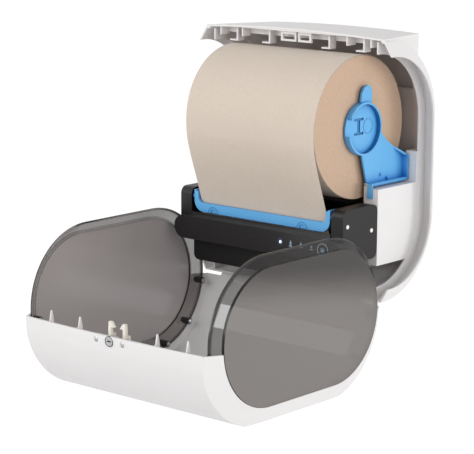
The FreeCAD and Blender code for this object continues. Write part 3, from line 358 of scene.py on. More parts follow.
def shown_to(tree):
    """Rays that meet the plain background: straight, mirrored and through glass."""
    rays = add(tree, "ShaderNodeLightPath").outputs
    direct = maths(tree, "MAXIMUM", rays["Is Camera Ray"], rays["Is Transmission Ray"])
    return maths(tree, "MAXIMUM", direct, rays["Is Glossy Ray"])


def lamp_glow(name, colour, strength):
    """Frosted indicator lens: pale centre with a faint glow."""
    material, tree, shader, where = blank(name)
    tone = mixed(tree, noise(tree, where, 1500.0), linear(colour, 0.8), linear(colour))
    feed(tree, shader, {"Base Color": tone, "Emission Color": tone, "Emission Strength": strength,
                        "Roughness": 0.3})
    return material


# Colour, roughness, grain in mm, its depth in mm, mottling, then what differs from the usual
MOULDED = {
    # satin ABS from a sparked tool: even pale skin with soft wide highlights
    "white_abs": ("white", 0.38, 0.9, 0.02, 0.03),
    # the same skin on the back wall, with painted shade: warm and dim, as the roll shades it
    "white_abs_back_shade": ("white", 0.38, 0.9, 0.02, 0.03, {"inside": "#A89B94"}),
    # glossier ABS: clear colour, tighter highlights, and painted shade that makes it deeper where
    # walls meet
    "blue_abs": ("blue", 0.33, 1.2, 0.02, 0.05, {"crevice_shade": "#1C74C0"}),
    # the same ABS as a painted shade copy for recessed walls: the strong, darker blue that makes a
    # hollow read as deep
    "blue_abs_recess": ("#2A80BE", 0.4, 1.2, 0.02, 0.05, {"crevice_shade": "#0F5088"}),
    # glass-filled black: fine spark texture, greyish sheen, and painted shade that darkens it where
    # walls stand close
    "black_abs": ("#121011", 0.45, 0.8, 0.03, 0.2, {"ior": 1.4, "crevice_shade": "#030202",
                                                    "reach": 45.0}),
    # the throat's black, painted darker than the other black as shade so that it reads as an
    # opening; almost no sheen
    "black_abs_matte": ("#060505", 0.6, 0.8, 0.03, 0.2, {"ior": 1.35}),
    # polished dark front with a thin clear coat that mirrors the lights
    "panel_acrylic": ("#151314", 0.26, 2.5, 0.008, 0.15, {"coat": 0.2}),
    # acetal: waxy and slightly soft, white, ivory or grey-yellow
    "white_acetal": ("#F2F0EA", 0.35, 0.8, 0.02, 0.05),
    "ivory_acetal": ("#E9E4D8", 0.4, 0.8, 0.02, 0.05),
    "gear_acetal": ("#D9D5C6", 0.45, 0.8, 0.03, 0.05),
    # printing ink and lacquer: flat satin, pale enough to read on black
    "pale_blue_ink": ("#C9DCE8", 0.5, 1.0, 0.01, 0.05),
    "deep_blue_ink": ("#1D3550", 0.5, 1.0, 0.01, 0.05),
    "blue_lacquer": ("#12324F", 0.35, 1.0, 0.01, 0.05),
    "white_ink": ("#C8E2F2", 0.5, 1.0, 0.01, 0.05),
    # dull rubber that grips, and the shiny sleeve of the cells
    "feed_rubber": ("#242322", 0.8, 0.6, 0.08, 0.25),
    "pvc_sleeve": ("#33363B", 0.3, 3.0, 0.01, 0.2),
}
# Side windows: even tint on the face, thinner on the sloped ring, dark through edges.
# The left one is painted lighter and the right one darker, as painted light and shade;
# the right one also has painted shade that darkens it towards the black module behind it
SMOKED = {
    "smoked_polycarbonate_left": ("smoke", 0.78, 0.88, "smoke"),
    "smoked_polycarbonate_right": ("#75706D", 0.78, 0.88, "#373331"),
    "smoked_polycarbonate_ring_left": ("#8A8381", 0.55, 0.75, "#7A7472", True),
    "smoked_polycarbonate_ring_right": ("#2C2726", 0.33, 0.62, "#231F1E", True),
    "smoked_polycarbonate_edge": ("#14100F", 0.95, 0.98, "#0F0C0B"),
}
OTHERS = {
    # bright plated steel, and the dull brown-grey of aged fittings, also used as painted shadow for
    # the gaps round the lock screws
    "zinc_steel": (metal, "#B7B8BA", 0.32, 900.0),
    "dark_steel": (metal, "#3F3A37", 0.42, 700.0),
    # lamp lenses: the lit one glows, the unlit ones have a faint painted glow
    "lit_acrylic": (lamp_glow, "#F2F7FF", 2.0),
    "frosted_acrylic": (lamp_glow, "#9DB2C2", 0.05),
}
PLAIN = {"kraft": towel_paper, "wound": wound_edge, "cardboard": cardboard,
         "laminate": circuit_laminate}
MATERIALS = {}


def finish(name):
    """One shared material, made when first asked for."""
    def colour(value):
        return value if value.startswith("#") else getattr(sizes(), value)

    if name in MATERIALS:
        return MATERIALS[name]
    if name in MOULDED:
        tint, *values = MOULDED[name]
        more = values.pop() if isinstance(values[-1], dict) else {}
        made = moulded(name, colour(tint), *values, **more)
    elif name in SMOKED:
        tint, clear, grazing, painted_shade_tint, *more = SMOKED[name]
        made = smoked_polycarbonate(name, colour(tint), clear, grazing, colour(painted_shade_tint), *more)
    elif name in OTHERS:
        maker, *values = OTHERS[name]
        made = maker(name, *values)
    else:
        made = PLAIN[name]()
    MATERIALS[name] = made
    return made


# Mesh tools

def in_scene(name, data):
    """New object in the scene."""
    thing = bpy.data.objects.new(name, data)
    bpy.context.scene.collection.objects.link(thing)
    return thing


def from_form(name, form):
    """New object from mesh data, which is used up."""
    mesh = bpy.data.meshes.new(name)
    form.to_mesh(mesh)
    form.free()
    return in_scene(name, mesh)


def settle(piece):
    """Turn a piece and its modifiers into one plain mesh."""
    graph = bpy.context.evaluated_depsgraph_get()
    mesh = bpy.data.meshes.new_from_object(piece.evaluated_get(graph), depsgraph=graph)
    piece.modifiers.clear()
    piece.data = mesh
    return piece


def crease(form, degrees):
    """Smooth faces, with edges left sharp past an angle."""
    limit = math.radians(degrees)
    for face in form.faces:
        face.smooth = True
    for edge in form.edges:
        edge.smooth = len(edge.link_faces) == 2 and edge.calc_face_angle(0) < limit


def piece_from(name, form, material, body, nodes=(), sharp=35):
    """Make an object from mesh data, give it its finish and let it ride."""
    crease(form, sharp)
    piece = from_form(name, form)
    for item in [material] if isinstance(material, str) else material:
        piece.data.materials.append(finish(item))
    soften = piece.modifiers.new("weighted", "WEIGHTED_NORMAL")
    soften.keep_sharp = True
    settle(piece)
    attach(piece, body)
    if nodes:
        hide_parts(*nodes)
    return piece


def copied(node):
    """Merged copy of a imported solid's mesh, flat areas joined to single faces."""
    form = bmesh.new()
    form.from_mesh(frame["nodes"][node].data)
    bmesh.ops.remove_doubles(form, verts=form.verts, dist=0.002 * MM)
    bmesh.ops.dissolve_limit(form, angle_limit=math.radians(0.4), verts=form.verts,
                             edges=form.edges, delimit={"NORMAL"})
    return form


def rounded_edges(form, width, segments=2):
    """Round the mesh's sharp edges, width in mm."""
    limit = math.radians(40)
    sharp = [edge for edge in form.edges
             if len(edge.link_faces) == 2 and edge.calc_face_angle(0) > limit]
    bmesh.ops.bevel(form, geom=sharp, offset=width * MM, offset_type="OFFSET",
                    segments=segments, profile=0.5, affect="EDGES", clamp_overlap=True)
    return form


def dressed(name, node, width, material, body, segments=2):
    """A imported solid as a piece, its edges rounded by a width in mm."""
    form = rounded_edges(copied(node), width, segments)
    piece_from(name, form, material, body, [node])


def prism(outline, low, high, axis="x"):
    """Closed prism along X or Y over an outline given in the two other axes, in metres."""
    form = bmesh.new()
    rings = [[form.verts.new((along, a, b) if axis == "x" else (a, along, b)) for a, b in outline]
             for along in (low, high)]
    form.faces.new(rings[0])
    form.faces.new(rings[1])
    count = len(outline)
    for index in range(count):
        after = (index + 1) % count
        form.faces.new((rings[0][index], rings[0][after], rings[1][after], rings[1][index]))
    bmesh.ops.recalc_face_normals(form, faces=form.faces)
    return form


def slab(left, right, bottom, top, low, high):
    """Thin block facing along Y."""
    return prism([(left, bottom), (right, bottom), (right, top), (left, top)], low, high, "y")


def in_mm(pairs):
    """Pairs of lengths in mm, in metres."""
    return [(first * MM, second * MM) for first, second in pairs]


def lathe(profile, centre, axis, steps):
    """Closed solid turned about an axis through centre; profile is (radius, along) pairs."""
    form = bmesh.new()
    turn = axis.to_track_quat("Z", "Y").to_matrix()
    rings = []
    for radius, along in profile:
        if radius < 1e-7:
            rings.append([form.verts.new(centre + turn @ Vector((0, 0, along)))])
            continue
        ring = []
        for index in range(steps):
            angle = 2 * math.pi * index / steps
            ring.append(form.verts.new(centre + turn @ Vector((
                radius * math.cos(angle), radius * math.sin(angle), along))))
        rings.append(ring)
    for low, high in zip(rings, rings[1:]):
        for index in range(steps):
            after = (index + 1) % steps
            corners = [low[index % len(low)], low[after % len(low)],
                       high[after % len(high)], high[index % len(high)]]
            form.faces.new(list(dict.fromkeys(corners)))
    if len(rings[0]) > 1 and profile[0] == profile[-1]:
        bmesh.ops.remove_doubles(form, verts=form.verts, dist=1e-6)
    bmesh.ops.recalc_face_normals(form, faces=form.faces)
    return form


def band(outer, inner, low, high, centre, axis=FORWARD, steps=48):
    """Flat ring between two radii, all sizes in mm."""
    outline = [(outer, low), (outer, high), (inner, high), (inner, low), (outer, low)]
    return lathe(in_mm(outline), centre, axis, steps)


def arc(centre, radius, start, end, steps):
    """Points on an arc, angles in degrees."""
    return [(centre[0] + radius * math.cos(math.radians(start + (end - start) * index / steps)),
             centre[1] + radius * math.sin(math.radians(start + (end - start) * index / steps)))
            for index in range(steps + 1)]


def joined(*forms):
    """Several meshes as one."""
    whole = bmesh.new()
    for form in forms:
        mesh = bpy.data.meshes.new("part")
        form.to_mesh(mesh)
        form.free()
        whole.from_mesh(mesh)
        bpy.data.meshes.remove(mesh)
    return whole


def carved(form, cutters):
    """Cut closed meshes out of a closed mesh."""
    base = from_form("base", form)
    tools = [from_form("tool_%d" % index, cutter) for index, cutter in enumerate(cutters)]
    for tool in tools:
        cut = base.modifiers.new("cut", "BOOLEAN")
        cut.operation = "DIFFERENCE"
        cut.solver = "EXACT"
        cut.object = tool
    settle(base)
    result = bmesh.new()
    result.from_mesh(base.data)
    for thing in [base] + tools:
        bpy.data.objects.remove(thing)
    return result


# Repeated pieces

def screw_tree():
    """Geometry Nodes tree that sets a pan-head screw on every point."""
    tree = bpy.data.node_groups.new("ring_screws", "GeometryNodeTree")
    face = tree.interface
    face.new_socket("Points", in_out="INPUT", socket_type="NodeSocketGeometry")
    for label, value in (("Head radius", 3.0 * MM), ("Head height", 1.8 * MM),
                         ("Shank radius", 1.5 * MM), ("Shank length", 6.0 * MM),
                         ("Direction", 1.0)):
        socket = face.new_socket(label, in_out="INPUT", socket_type="NodeSocketFloat")
        socket.default_value = value
    face.new_socket("Material", in_out="INPUT", socket_type="NodeSocketMaterial")
    face.new_socket("Screws", in_out="OUTPUT", socket_type="NodeSocketGeometry")
    given = add(tree, "NodeGroupInput")
    head, shank = [add(tree, "GeometryNodeMeshCone", {
        "Radius Top": given.outputs[part + " radius"],
        "Radius Bottom": given.outputs[part + " radius"],
        "Depth": given.outputs[part + length], "Vertices": steps})
        for part, length, steps in (("Head", " height", 28), ("Shank", " length", 20))]
    crown = add(tree, "GeometryNodeMeshUVSphere", {
        "Radius": given.outputs["Head radius"], "Segments": 28, "Rings": 12})
    squashed = add(tree, "GeometryNodeTransform", {
        "Geometry": crown.outputs["Mesh"], "Scale": (0.96, 0.96, 0.32)})
    recess = add(tree, "GeometryNodeJoinGeometry")
    for size in ((3.4 * MM, 0.7 * MM, 0.8 * MM), (0.7 * MM, 3.4 * MM, 0.8 * MM)):
        bar = add(tree, "GeometryNodeMeshCube", {"Size": size})
        tree.links.new(bar.outputs["Mesh"], recess.inputs[0])
    head_place, recess_place = [add(tree, "ShaderNodeCombineXYZ", {
        "Z": maths(tree, "MULTIPLY", given.outputs["Head height"], share)})
        for share in (-1.0, -1.45)]
    lowered, sunk, seated = [add(tree, "GeometryNodeTransform", {
        "Geometry": part.outputs[0], "Translation": place.outputs[0]})
        for part, place in ((squashed, head_place), (recess, recess_place), (head, head_place))]
    crossed = add(tree, "GeometryNodeMeshBoolean", {
        "Mesh 1": lowered.outputs[0], "Mesh 2": sunk.outputs[0]}, operation="DIFFERENCE")
    whole = add(tree, "GeometryNodeJoinGeometry")
    for part in (shank, seated, crossed):
        tree.links.new(part.outputs[0], whole.inputs[0])
    turn = add(tree, "ShaderNodeCombineXYZ", {
        "Y": maths(tree, "MULTIPLY", given.outputs["Direction"], math.pi / 2)})
    placed = add(tree, "GeometryNodeInstanceOnPoints", {
        "Points": given.outputs["Points"], "Instance": whole.outputs[0],
        "Rotation": turn.outputs[0]})
    real = add(tree, "GeometryNodeRealizeInstances", {"Geometry": placed.outputs[0]})
    coated = add(tree, "GeometryNodeSetMaterial", {
        "Geometry": real.outputs[0], "Material": given.outputs["Material"]})
    add(tree, "NodeGroupOutput", {"Screws": coated.outputs[0]})
    return tree


def screws_on(name, points, direction, head, shank, body, nodes, material):
    """Screws on points, as one plain mesh riding on one body."""
    form = bmesh.new()
    for point in points:
        form.verts.new(point)
    piece = from_form(name, form)
    tree = bpy.data.node_groups.get("ring_screws") or screw_tree()
    made = piece.modifiers.new("screws", "NODES")
    made.node_group = tree
    values = {"Head radius": head[0], "Head height": head[1], "Shank radius": shank[0],
              "Shank length": shank[1], "Direction": direction, "Material": finish(material)}
    for socket in tree.interface.items_tree:
        if socket.name in values:
            made[socket.identifier] = values[socket.name]
    settle(piece)
    for face in piece.data.polygons:
        face.use_smooth = False
    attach(piece, body)
    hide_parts(*nodes)
    return piece


def centres(node):
    """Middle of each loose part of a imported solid."""
    form = bmesh.new()
    form.from_mesh(frame["nodes"][node].data)
    bmesh.ops.remove_doubles(form, verts=form.verts, dist=0.002 * MM)
    spots, seen = [], set()
    for start in form.verts:
        if start in seen:
            continue
        group, queue = [], [start]
        seen.add(start)
        while queue:
            vertex = queue.pop()
            group.append(vertex.co.copy())
            for edge in vertex.link_edges:
                other = edge.other_vert(vertex)
                if other not in seen:
                    seen.add(other)
                    queue.append(other)
        lows = Vector([min(point[axis] for point in group) for axis in range(3)])
        highs = Vector([max(point[axis] for point in group) for axis in range(3)])
        spots.append((lows + highs) / 2)
    form.free()
    return spots


# Operators

class HousingOperator(bpy.types.Operator):
    """Rear housing and the two boxes that carry the roll arms"""

    bl_idname = "dispenser.housing"
    bl_label = "Rear housing"

    def execute(self, context):
        # faces of the back wall that look forward between the side walls, below the cap, get the
        # painted shade of the roll
        form = copied("rear_housing")
        for face in form.faces:
            spot = face.calc_center_median() / MM
            deep = -40 < spot.y < -1.5 and abs(spot.x) < 135 and spot.z < 125
            face.material_index = 1 if deep and face.normal.y < -0.6 else 0
        piece_from("housing_shell", form, ["white_abs", "white_abs_back_shade"], "base",
                   ["rear_housing"], 28)
        for word in ("left", "right"):
            dressed(word + "_arm_box", word + "_side_box", sizes().edge_round / MM, "white_abs",
                    "base")
        return {"FINISHED"}


class CoverOperator(bpy.types.Operator):
    """Front cover, its lock, latch and trim"""

    bl_idname = "dispenser.cover"
    bl_label = "Front cover"

    def execute(self, context):
        piece_from("cover_moulding", copied("cover_shell"), "white_abs", "cover", ["cover_shell"],
                   28)
        dressed("latch_hooks", "latch_plate", 0.4, "ivory_acetal", "latch")
        low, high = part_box("lock_barrel")
        place = Vector(((low.x + high.x) / 2, low.y, (low.z + high.z) / 2))
        ring = band(6.2, 5.6, -1.4, 0.2, place, steps=64)
        piece_from("lock_surround", ring, "dark_steel", "cover", (), 30)
        # domed heads on their shanks, each in a thin dark ring of painted shadow that stands for
        # the gap round it
        low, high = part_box("lock_screws")
        dome = in_mm([(0, -12.2), (1.4, -12.2), (1.4, 0), (3.0, 0), (2.9, 0.5), (2.2, 1.1),
                      (1.1, 1.42), (0, 1.5)])
        heads, shadow_gaps = [], []
        for across in (low.x + 2.4 * MM, high.x - 2.4 * MM):
            spot = Vector((across, low.y + 1.5 * MM, (low.z + high.z) / 2))
            heads.append(lathe(dome, spot, FORWARD, 40))
            shadow_gaps.append(band(3.5, 3.02, -0.3, 0.32, spot, steps=40))
        piece_from("lock_screw_domes", joined(*heads), "zinc_steel", "cover", ["lock_screws"],
                   40)
        piece_from("lock_screw_shadow_rims", joined(*shadow_gaps), "dark_steel", "cover", (), 30)
        return {"FINISHED"}


class WindowOperator(bpy.types.Operator):
    """Smoked side windows with their ring screws"""

    bl_idname = "dispenser.windows"
    bl_label = "Side windows"

    def execute(self, context):
        for side, word in SIDES:
            # flat face first, then the sloped ring, then the outer edge and the rim
            form = copied(word + "_window")
            form.normal_update()
            for face in form.faces:
                spot = face.calc_center_median()
                radius = math.hypot(max(abs(spot.y - WINDOW_DEPTH) - WINDOW_STRAIGHT, 0.0),
                                    spot.z - WINDOW_HEIGHT)
                flat = abs(face.normal.x)
                rim = flat < 0.3 or (flat > 0.95 and radius > WINDOW_FACE_RADIUS * MM)
                face.material_index = 2 if rim else 0 if flat > 0.95 else 1
            tints = ["smoked_polycarbonate_" + place for place in (word, "ring_" + word, "edge")]
            piece_from(word + "_smoked_window", form, tints, "cover", [word + "_window"],
                       28)
            low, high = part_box(word + "_window_screws")
            inner = low.x if side > 0 else high.x
            points = [Vector((inner + side * 1.8 * MM, spot.y, spot.z))
                      for spot in centres(word + "_window_screws")]
            screws_on(word + "_ring_screws", points, float(side), (sizes().screw_head, 0.9 * MM),
                      (1.5 * MM, 13.6 * MM), "cover", [word + "_window_screws"], "zinc_steel")
        return {"FINISHED"}


class RollOperator(bpy.types.Operator):
    """Wound towel roll"""

    bl_idname = "dispenser.roll"
    bl_label = "Paper roll"

    def execute(self, context):
        # the ends step in and out by a third of a millimetre, as wound layers do
        core = CORE_RADIUS * MM
        rings = 44
        profile = []
        for end in (1, -1):
            span = []
            for index in range(rings + 1):
                part = index / rings
                radius = core + (ROLL_RADIUS - 0.9 * MM - core) * part
                wave = math.sin(index * 2.7 + end) * math.sin(index * 0.61)
                uneven = 0.35 * MM * (0.5 + 0.5 * wave)
                if index in (0, rings):
                    uneven = 0.0
                span.append((radius, end * (ROLL_HALF - 0.05 * MM - uneven)))
            span.append((ROLL_RADIUS - 0.3 * MM, end * (ROLL_HALF - 0.3 * MM)))
            span.append((ROLL_RADIUS, end * (ROLL_HALF - 1.0 * MM)))
            profile += span if end > 0 else span[::-1]
        profile.append(profile[0])
        form = lathe(profile, HUB, Vector((1, 0, 0)), 160)
        for face in form.faces:
            at_end = abs(face.calc_center_median().x) > ROLL_HALF - 0.6 * MM
            face.material_index = 1 if at_end else 0
        piece_from("towel_roll", form, ["kraft", "wound"], "roll", ["paper_roll"],
                   60)
        return {"FINISHED"}


class WebOperator(bpy.types.Operator):
    """Last turn of the towel and its free end down to the rollers"""

    bl_idname = "dispenser.web"
    bl_label = "Towel end"

    def execute(self, context):
        # round the roll to its front, then down behind the guide into the throat
        thick = sizes().paper_thick
        radius = ROLL_RADIUS + 0.35 * MM + thick / 2
        turns = 72
        start = math.degrees(math.pi - sizes().wrap_angle)
        line = [Vector((0, y, z)) for y, z in arc((HUB.y, HUB.z), radius, start, 180, turns)]
        below = [(-184.5, 47), (-183.9, 36), (-182.6, 28), (-180.6, 20), (-177.6, 10), (-173.6, -2),
                 (-169.2, -14), (-164.8, -26), (-160.4, -39), (-156.6, -52), (-153.9, -64),
                 (-152.5, -76), (-152.05, -88), (-152.0, -104), (-152.0, -127)]
        line += [Vector((0, y, z)) for y, z in in_mm(below)]
        smooth = []
        for index in range(len(line) - 1):
            before, here = line[max(index - 1, 0)], line[index]
            after, beyond = line[index + 1], line[min(index + 2, len(line) - 1)]
            steps = 1 if index < turns - 2 else 4
            for step in range(steps):
                part = step / steps
                smooth.append(0.5 * (2 * here + (after - before) * part
                                     + (2 * before - 5 * here + 4 * after - beyond) * part ** 2
                                     + (3 * here - before - 3 * after + beyond) * part ** 3))
        smooth.append(line[-1])
        half = ROLL_HALF - 0.5 * MM
        across = 24
        form = bmesh.new()
        layers = []
        for side in (1, -1):
            grid = []
            for index, point in enumerate(smooth):
                ahead = smooth[min(index + 1, len(smooth) - 1)] - smooth[max(index - 1, 0)]
                normal = Vector((0, ahead.z, -ahead.y)).normalized()
                row = []
                for column in range(across + 1):
                    spread = -half + 2 * half * column / across
                    row.append(form.verts.new(point + normal * side * thick / 2
                                              + Vector((spread, 0, 0))))
                grid.append(row)
            layers.append(grid)
        for grid, flip in zip(layers, (False, True)):
            for low, high in zip(grid, grid[1:]):
                for column in range(across):
                    corners = [low[column], low[column + 1], high[column + 1], high[column]]
                    form.faces.new(corners[::-1] if flip else corners)
        front, rear = layers
        for index in range(len(smooth) - 1):
            for column in (0, across):
                form.faces.new((front[index][column], front[index + 1][column],
                                rear[index + 1][column], rear[index][column]))
        for row in (0, len(smooth) - 1):
            for column in range(across):
                form.faces.new((front[row][column], front[row][column + 1],
                                rear[row][column + 1], rear[row][column]))
        bmesh.ops.recalc_face_normals(form, faces=form.faces)
        piece = piece_from("towel_end", form, "kraft", "base", ["paper_web"], 60)
        return {"FINISHED"}


class ArmOperator(bpy.types.Operator):
    """Blue arms that hold the roll"""

    bl_idname = "dispenser.arms"
    bl_label = "Roll arms"

    def execute(self, context):
        # an I-shaped slot beside an embossed ring, both in the floor of the cup
        slot = in_mm([(-113, 43), (-95, 43), (-95, 46), (-101.5, 46), (-101.5, 60), (-95, 60),
                      (-95, 63), (-113, 63), (-113, 60), (-107.5, 60), (-107.5, 46), (-113, 46)])
        for side, word in SIDES:
            form = rounded_edges(copied(word + "_roll_arm"), 0.7)
            depth = [side * (CUP_FLOOR - 1.2) * MM, side * (CUP_FLOOR + 3) * MM]
            form = carved(form, [prism(slot, min(depth), max(depth))])
            ring = band(9.2, 8.5, 0, 0.5, Vector((side * (CUP_FLOOR - 0.05), -86, 52)) * MM,
                        Vector((side, 0, 0)))
            # painted shade: the cup's inner walls and the I-shaped slot take the darker blue copy
            for face in form.faces:
                spot = face.calc_center_median()
                to_hub = Vector((0, HUB.y - spot.y, HUB.z - spot.z))
                in_slot = (abs(spot.y + 104 * MM) < 9.5 * MM and abs(spot.z - 53 * MM) < 10.5 * MM
                           and abs(spot.x) < (CUP_FLOOR - 0.05) * MM)
                wall = abs(face.normal.x) < 0.6 and to_hub.length < CUP_RADIUS * MM
                wall = wall and face.normal.dot(to_hub) > 0
                face.material_index = 1 if wall or in_slot else 0
            form = joined(form, ring)
            piece_from(word + "_arm_moulding", form, ["blue_abs", "blue_abs_recess"], word + "_arm",
                       [word + "_roll_arm"])
        return {"FINISHED"}


class ModuleOperator(bpy.types.Operator):
    """Black cheeks, chute and blue guide of the dispensing module"""

    bl_idname = "dispenser.module"
    bl_label = "Dispensing module"

    def execute(self, context):
        for word in ("left", "right"):
            dressed(word + "_cheek_shell", word + "_cheek", 1.4, "black_abs", "base",
                    3)
            dressed(word + "_pegs", word + "_cheek_pegs", 0.3, "white_acetal", "base")
        dressed("chute_moulding", "chute", 0.8, "black_abs_matte", "base")
        dressed("paper_guide_bar", "paper_guide", 0.8, "blue_abs", "base")
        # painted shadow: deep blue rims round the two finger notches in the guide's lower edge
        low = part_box("paper_guide")[0]
        shadow_rims = []
        for across in GUIDE_NOTCHES:
            outer = arc((across * MM, low.z), 8.1 * MM, 4, 176, 24)
            inner = arc((across * MM, low.z), 7.1 * MM, 176, 4, 24)
            shadow_rims.append(prism(outer + inner, low.y - 0.12 * MM, low.y + 0.4 * MM, "y"))
        piece_from("guide_notch_shadow_rims", joined(*shadow_rims), "blue_abs_recess", "base", ())
        return {"FINISHED"}


class PanelOperator(bpy.types.Operator):
    """Control panel with its feed button and lamps; the sensor eyes keep their imported solid"""

    bl_idname = "dispenser.panel"
    bl_label = "Control panel"

    def execute(self, context):
        dressed("panel_bar", "control_panel", 1.6, "panel_acrylic", "base", 3)
        dressed("button_cap", "feed_button", 0.3, "panel_acrylic", "button")
        cap_front = BUTTON_LOW.y
        middle = (BUTTON_LOW + BUTTON_HIGH) / 2
        middle.y = PANEL_FRONT
        piece_from("button_ring", band(8.1, 7.2, -0.1, 0.25, middle, steps=64), "pale_blue_ink",
                   "base", (), 30)
        disc = prism(arc((middle.x, middle.z), 4.6 * MM, 0, 360, 40)[:-1], cap_front - 0.08 * MM,
                     cap_front + 0.1 * MM, "y")
        piece_from("button_face", disc, "blue_lacquer", "button", (), 30)
        # sign of a towel hanging from a box: left wall, right wall, top, towel
        towel = [slab(middle.x + left * MM, middle.x + right * MM, middle.z + low * MM,
                      middle.z + high * MM, cap_front - 0.2 * MM, cap_front)
                 for left, low, right, high in ((-2.6, -1.6, -1.9, 2.2), (1.9, -1.6, 2.6, 2.2),
                                                (-2.6, 1.5, 2.6, 2.2), (-1.1, -2.6, 1.1, 0.7))]
        piece_from("button_sign", joined(*towel), "white_ink", "button", (), 30)
        low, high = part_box("lamp_lenses")
        pitch = (high.x - low.x - 2 * LAMP_RADIUS * MM) / 3
        lamps = [Vector((low.x + LAMP_RADIUS * MM + index * pitch, PANEL_FRONT,
                         (low.z + high.z) / 2)) for index in range(4)]
        # a dash below and a short mark above each unlit lamp
        signs = [slab(lamp.x - half * MM, lamp.x + half * MM, lamp.z + bottom * MM,
                      lamp.z + top * MM, PANEL_FRONT - 0.12 * MM, PANEL_FRONT + 0.1 * MM)
                 for lamp in lamps[1:]
                 for half, bottom, top in ((2.4, -3.4, -2.6), (0.5, 2.2, 3.4))]
        piece_from("lamp_signs", joined(*signs), "pale_blue_ink", "base", (), 30)
        piece_from("lamp_halo", band(4.4, 1.75, -0.1, 0.12, lamps[0]), "deep_blue_ink", "base", (),
                   30)
        lens = in_mm([(0, -3.3), (LAMP_RADIUS, -3.3), (LAMP_RADIUS, 0.05), (1.2, 0.3), (0, 0.4)])
        lenses = []
        for lamp in lamps:
            dome = lathe(lens, lamp, FORWARD, 32)
            for facet in dome.faces:
                facet.material_index = 0 if lamp is lamps[0] else 1
            lenses.append(dome)
        piece_from("lamp_domes", joined(*lenses), ["lit_acrylic", "frosted_acrylic"], "base",
                   ["lamp_lenses"], 30)
        return {"FINISHED"}


class HiddenOperator(bpy.types.Operator):
    """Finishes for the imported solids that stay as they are"""

    bl_idname = "dispenser.finishes"
    bl_label = "Inner parts"

    def execute(self, context):
        plain = {
            "zinc_steel": ("left_arm_pin", "right_arm_pin", "tear_bar", "battery_contacts",
                           "hinge_pins", "drive_shaft", "pinch_roller", "motor_shaft",
                           "lock_barrel"),
            "black_abs": ("left_end_plate", "right_end_plate", "module_beam", "battery_tray",
                          "battery_lid"),
            "white_abs": ("latch_cover",),
            "dark_steel": ("gear_motor", "sensor_lenses"),
            "gear_acetal": ("drive_gear", "motor_gear"),
            "feed_rubber": ("drive_rubber",),
            "pvc_sleeve": ("battery_cells",),
            "laminate": ("circuit_board",),
            "cardboard": ("core_tube",),
        }
        for material, names in plain.items():
            for name in names:
                for slot in frame["nodes"][name].material_slots:
                    slot.material = finish(material)
        return {"FINISHED"}


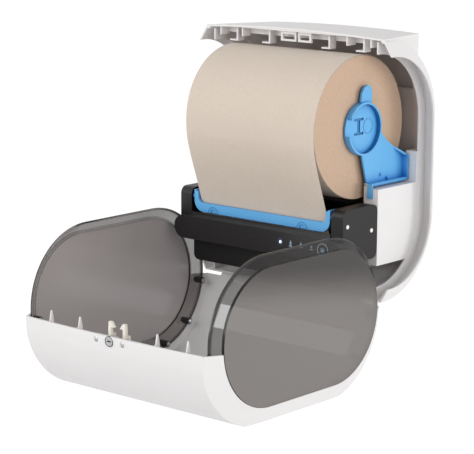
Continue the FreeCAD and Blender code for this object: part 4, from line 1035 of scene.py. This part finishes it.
class StageOperator(bpy.types.Operator):
    """Pale floor, soft studio light and the camera"""

    bl_idname = "dispenser.stage"
    bl_label = "Stage"

    def execute(self, context):
        floor_mesh = bpy.data.meshes.new("floor")
        reach, drop = 14.0, -0.75
        floor_mesh.from_pydata([(-reach, -reach, drop), (reach, -reach, drop), (reach, reach, drop),
                                (-reach, reach, drop)], [], [(0, 1, 2, 3)])
        in_scene("floor", floor_mesh)
        # the eye sees plain white; only shadows and bounced light tell of the floor
        material = bpy.data.materials.new("pale_floor")
        tree = cleared(material)
        white = add(tree, "ShaderNodeEmission", {"Color": (1, 1, 1, 1), "Strength": 0.9})
        matte = add(tree, "ShaderNodeBsdfDiffuse", {"Color": (0.25, 0.25, 0.25, 1)})
        both = add(tree, "ShaderNodeAddShader", {0: white.outputs[0], 1: matte.outputs[0]})
        dim = add(tree, "ShaderNodeBsdfDiffuse", {"Color": (0.8, 0.8, 0.8, 1)})
        chosen = add(tree, "ShaderNodeMixShader", {0: shown_to(tree), 1: dim.outputs[0],
                                                   2: both.outputs[0]})
        add(tree, "ShaderNodeOutputMaterial", {"Surface": chosen.outputs[0]})
        floor_mesh.materials.append(material)

        world = bpy.data.worlds.new("studio")
        context.scene.world = world
        tree = cleared(world)
        plain = add(tree, "ShaderNodeBackground", {"Color": (1, 1, 1, 1), "Strength": 1.0})
        soft = add(tree, "ShaderNodeBackground", {"Color": (1.0, 0.99, 0.985, 1), "Strength": 0.55})
        chosen = add(tree, "ShaderNodeMixShader", {0: shown_to(tree), 1: soft.outputs[0],
                                                   2: plain.outputs[0]})
        add(tree, "ShaderNodeOutputWorld", {"Surface": chosen.outputs[0]})

        target = Vector((0.0, -0.2, -0.05))
        for name, place, size, power, mirrored in (
                ("key", (-0.9, -2.6, 0.95), 1.8, 37.0, True),
                ("fill", (2.6, -1.2, 0.6), 1.6, 26.0, False),
                ("back", (2.4, 0.84, 0.1), 0.9, 17.0, True)):
            light = bpy.data.lights.new(name, "AREA")
            light.size = size
            light.energy = power
            lamp = in_scene(name, light)
            lamp.location = place
            lamp.visible_glossy = mirrored
            lamp.rotation_euler = (target - lamp.location).to_track_quat("-Z", "Y").to_euler()

        lens = bpy.data.cameras.new("camera")
        camera = in_scene("camera", lens)
        turn, tilt, roll = [math.radians(angle) for angle in CAMERA_ANGLES]
        back = Vector((math.sin(turn) * math.cos(tilt), -math.cos(turn) * math.cos(tilt),
                       math.sin(tilt)))
        flat = Vector((math.cos(turn), math.sin(turn), 0))
        over = back.cross(flat)
        right = flat * math.cos(roll) + over * math.sin(roll)
        above = over * math.cos(roll) - flat * math.sin(roll)
        camera.location = CAMERA_PLACE
        camera.rotation_euler = Matrix((right, above, back)).transposed().to_euler()
        lens.sensor_width = SENSOR_WIDTH
        lens.lens = FOCAL_PIXELS * SENSOR_WIDTH / PICTURE[0]
        lens.shift_x = (PICTURE[0] / 2 - VIEW_MIDDLE[0]) / PICTURE[0]
        lens.shift_y = (VIEW_MIDDLE[1] - PICTURE[1] / 2) / PICTURE[0]
        lens.clip_start, lens.clip_end = 0.05, 60.0
        context.scene.camera = camera
        context.scene.view_settings.view_transform = "Standard"
        return {"FINISHED"}


class DispenserPanel(bpy.types.Panel):
    """Sidebar list of the dispenser's pieces and sizes"""

    bl_label = "Towel dispenser"
    bl_idname = "VIEW3D_PT_dispenser"
    bl_space_type = "VIEW_3D"
    bl_region_type = "UI"
    bl_category = "Dispenser"

    def draw(self, context):
        for name in DispenserSizes.__annotations__:
            self.layout.prop(context.scene.dispenser, name)
        for operator in OPERATORS:
            self.layout.operator(operator.bl_idname)


OPERATORS = (StageOperator, HousingOperator, CoverOperator, WindowOperator, RollOperator,
             ModuleOperator, WebOperator, ArmOperator, PanelOperator, HiddenOperator)
CLASSES = (DispenserSizes,) + OPERATORS + (DispenserPanel,)


def register():
    for item in CLASSES:
        bpy.utils.register_class(item)
    bpy.types.Scene.dispenser = bpy.props.PointerProperty(type=DispenserSizes)


def unregister():
    del bpy.types.Scene.dispenser
    for item in reversed(CLASSES):
        bpy.utils.unregister_class(item)


def main():
    """Build everything in order."""
    register()
    for operator in OPERATORS:
        group, name = operator.bl_idname.split(".")
        getattr(getattr(bpy.ops, group), name)()


if __name__ == "__main__":
    main()
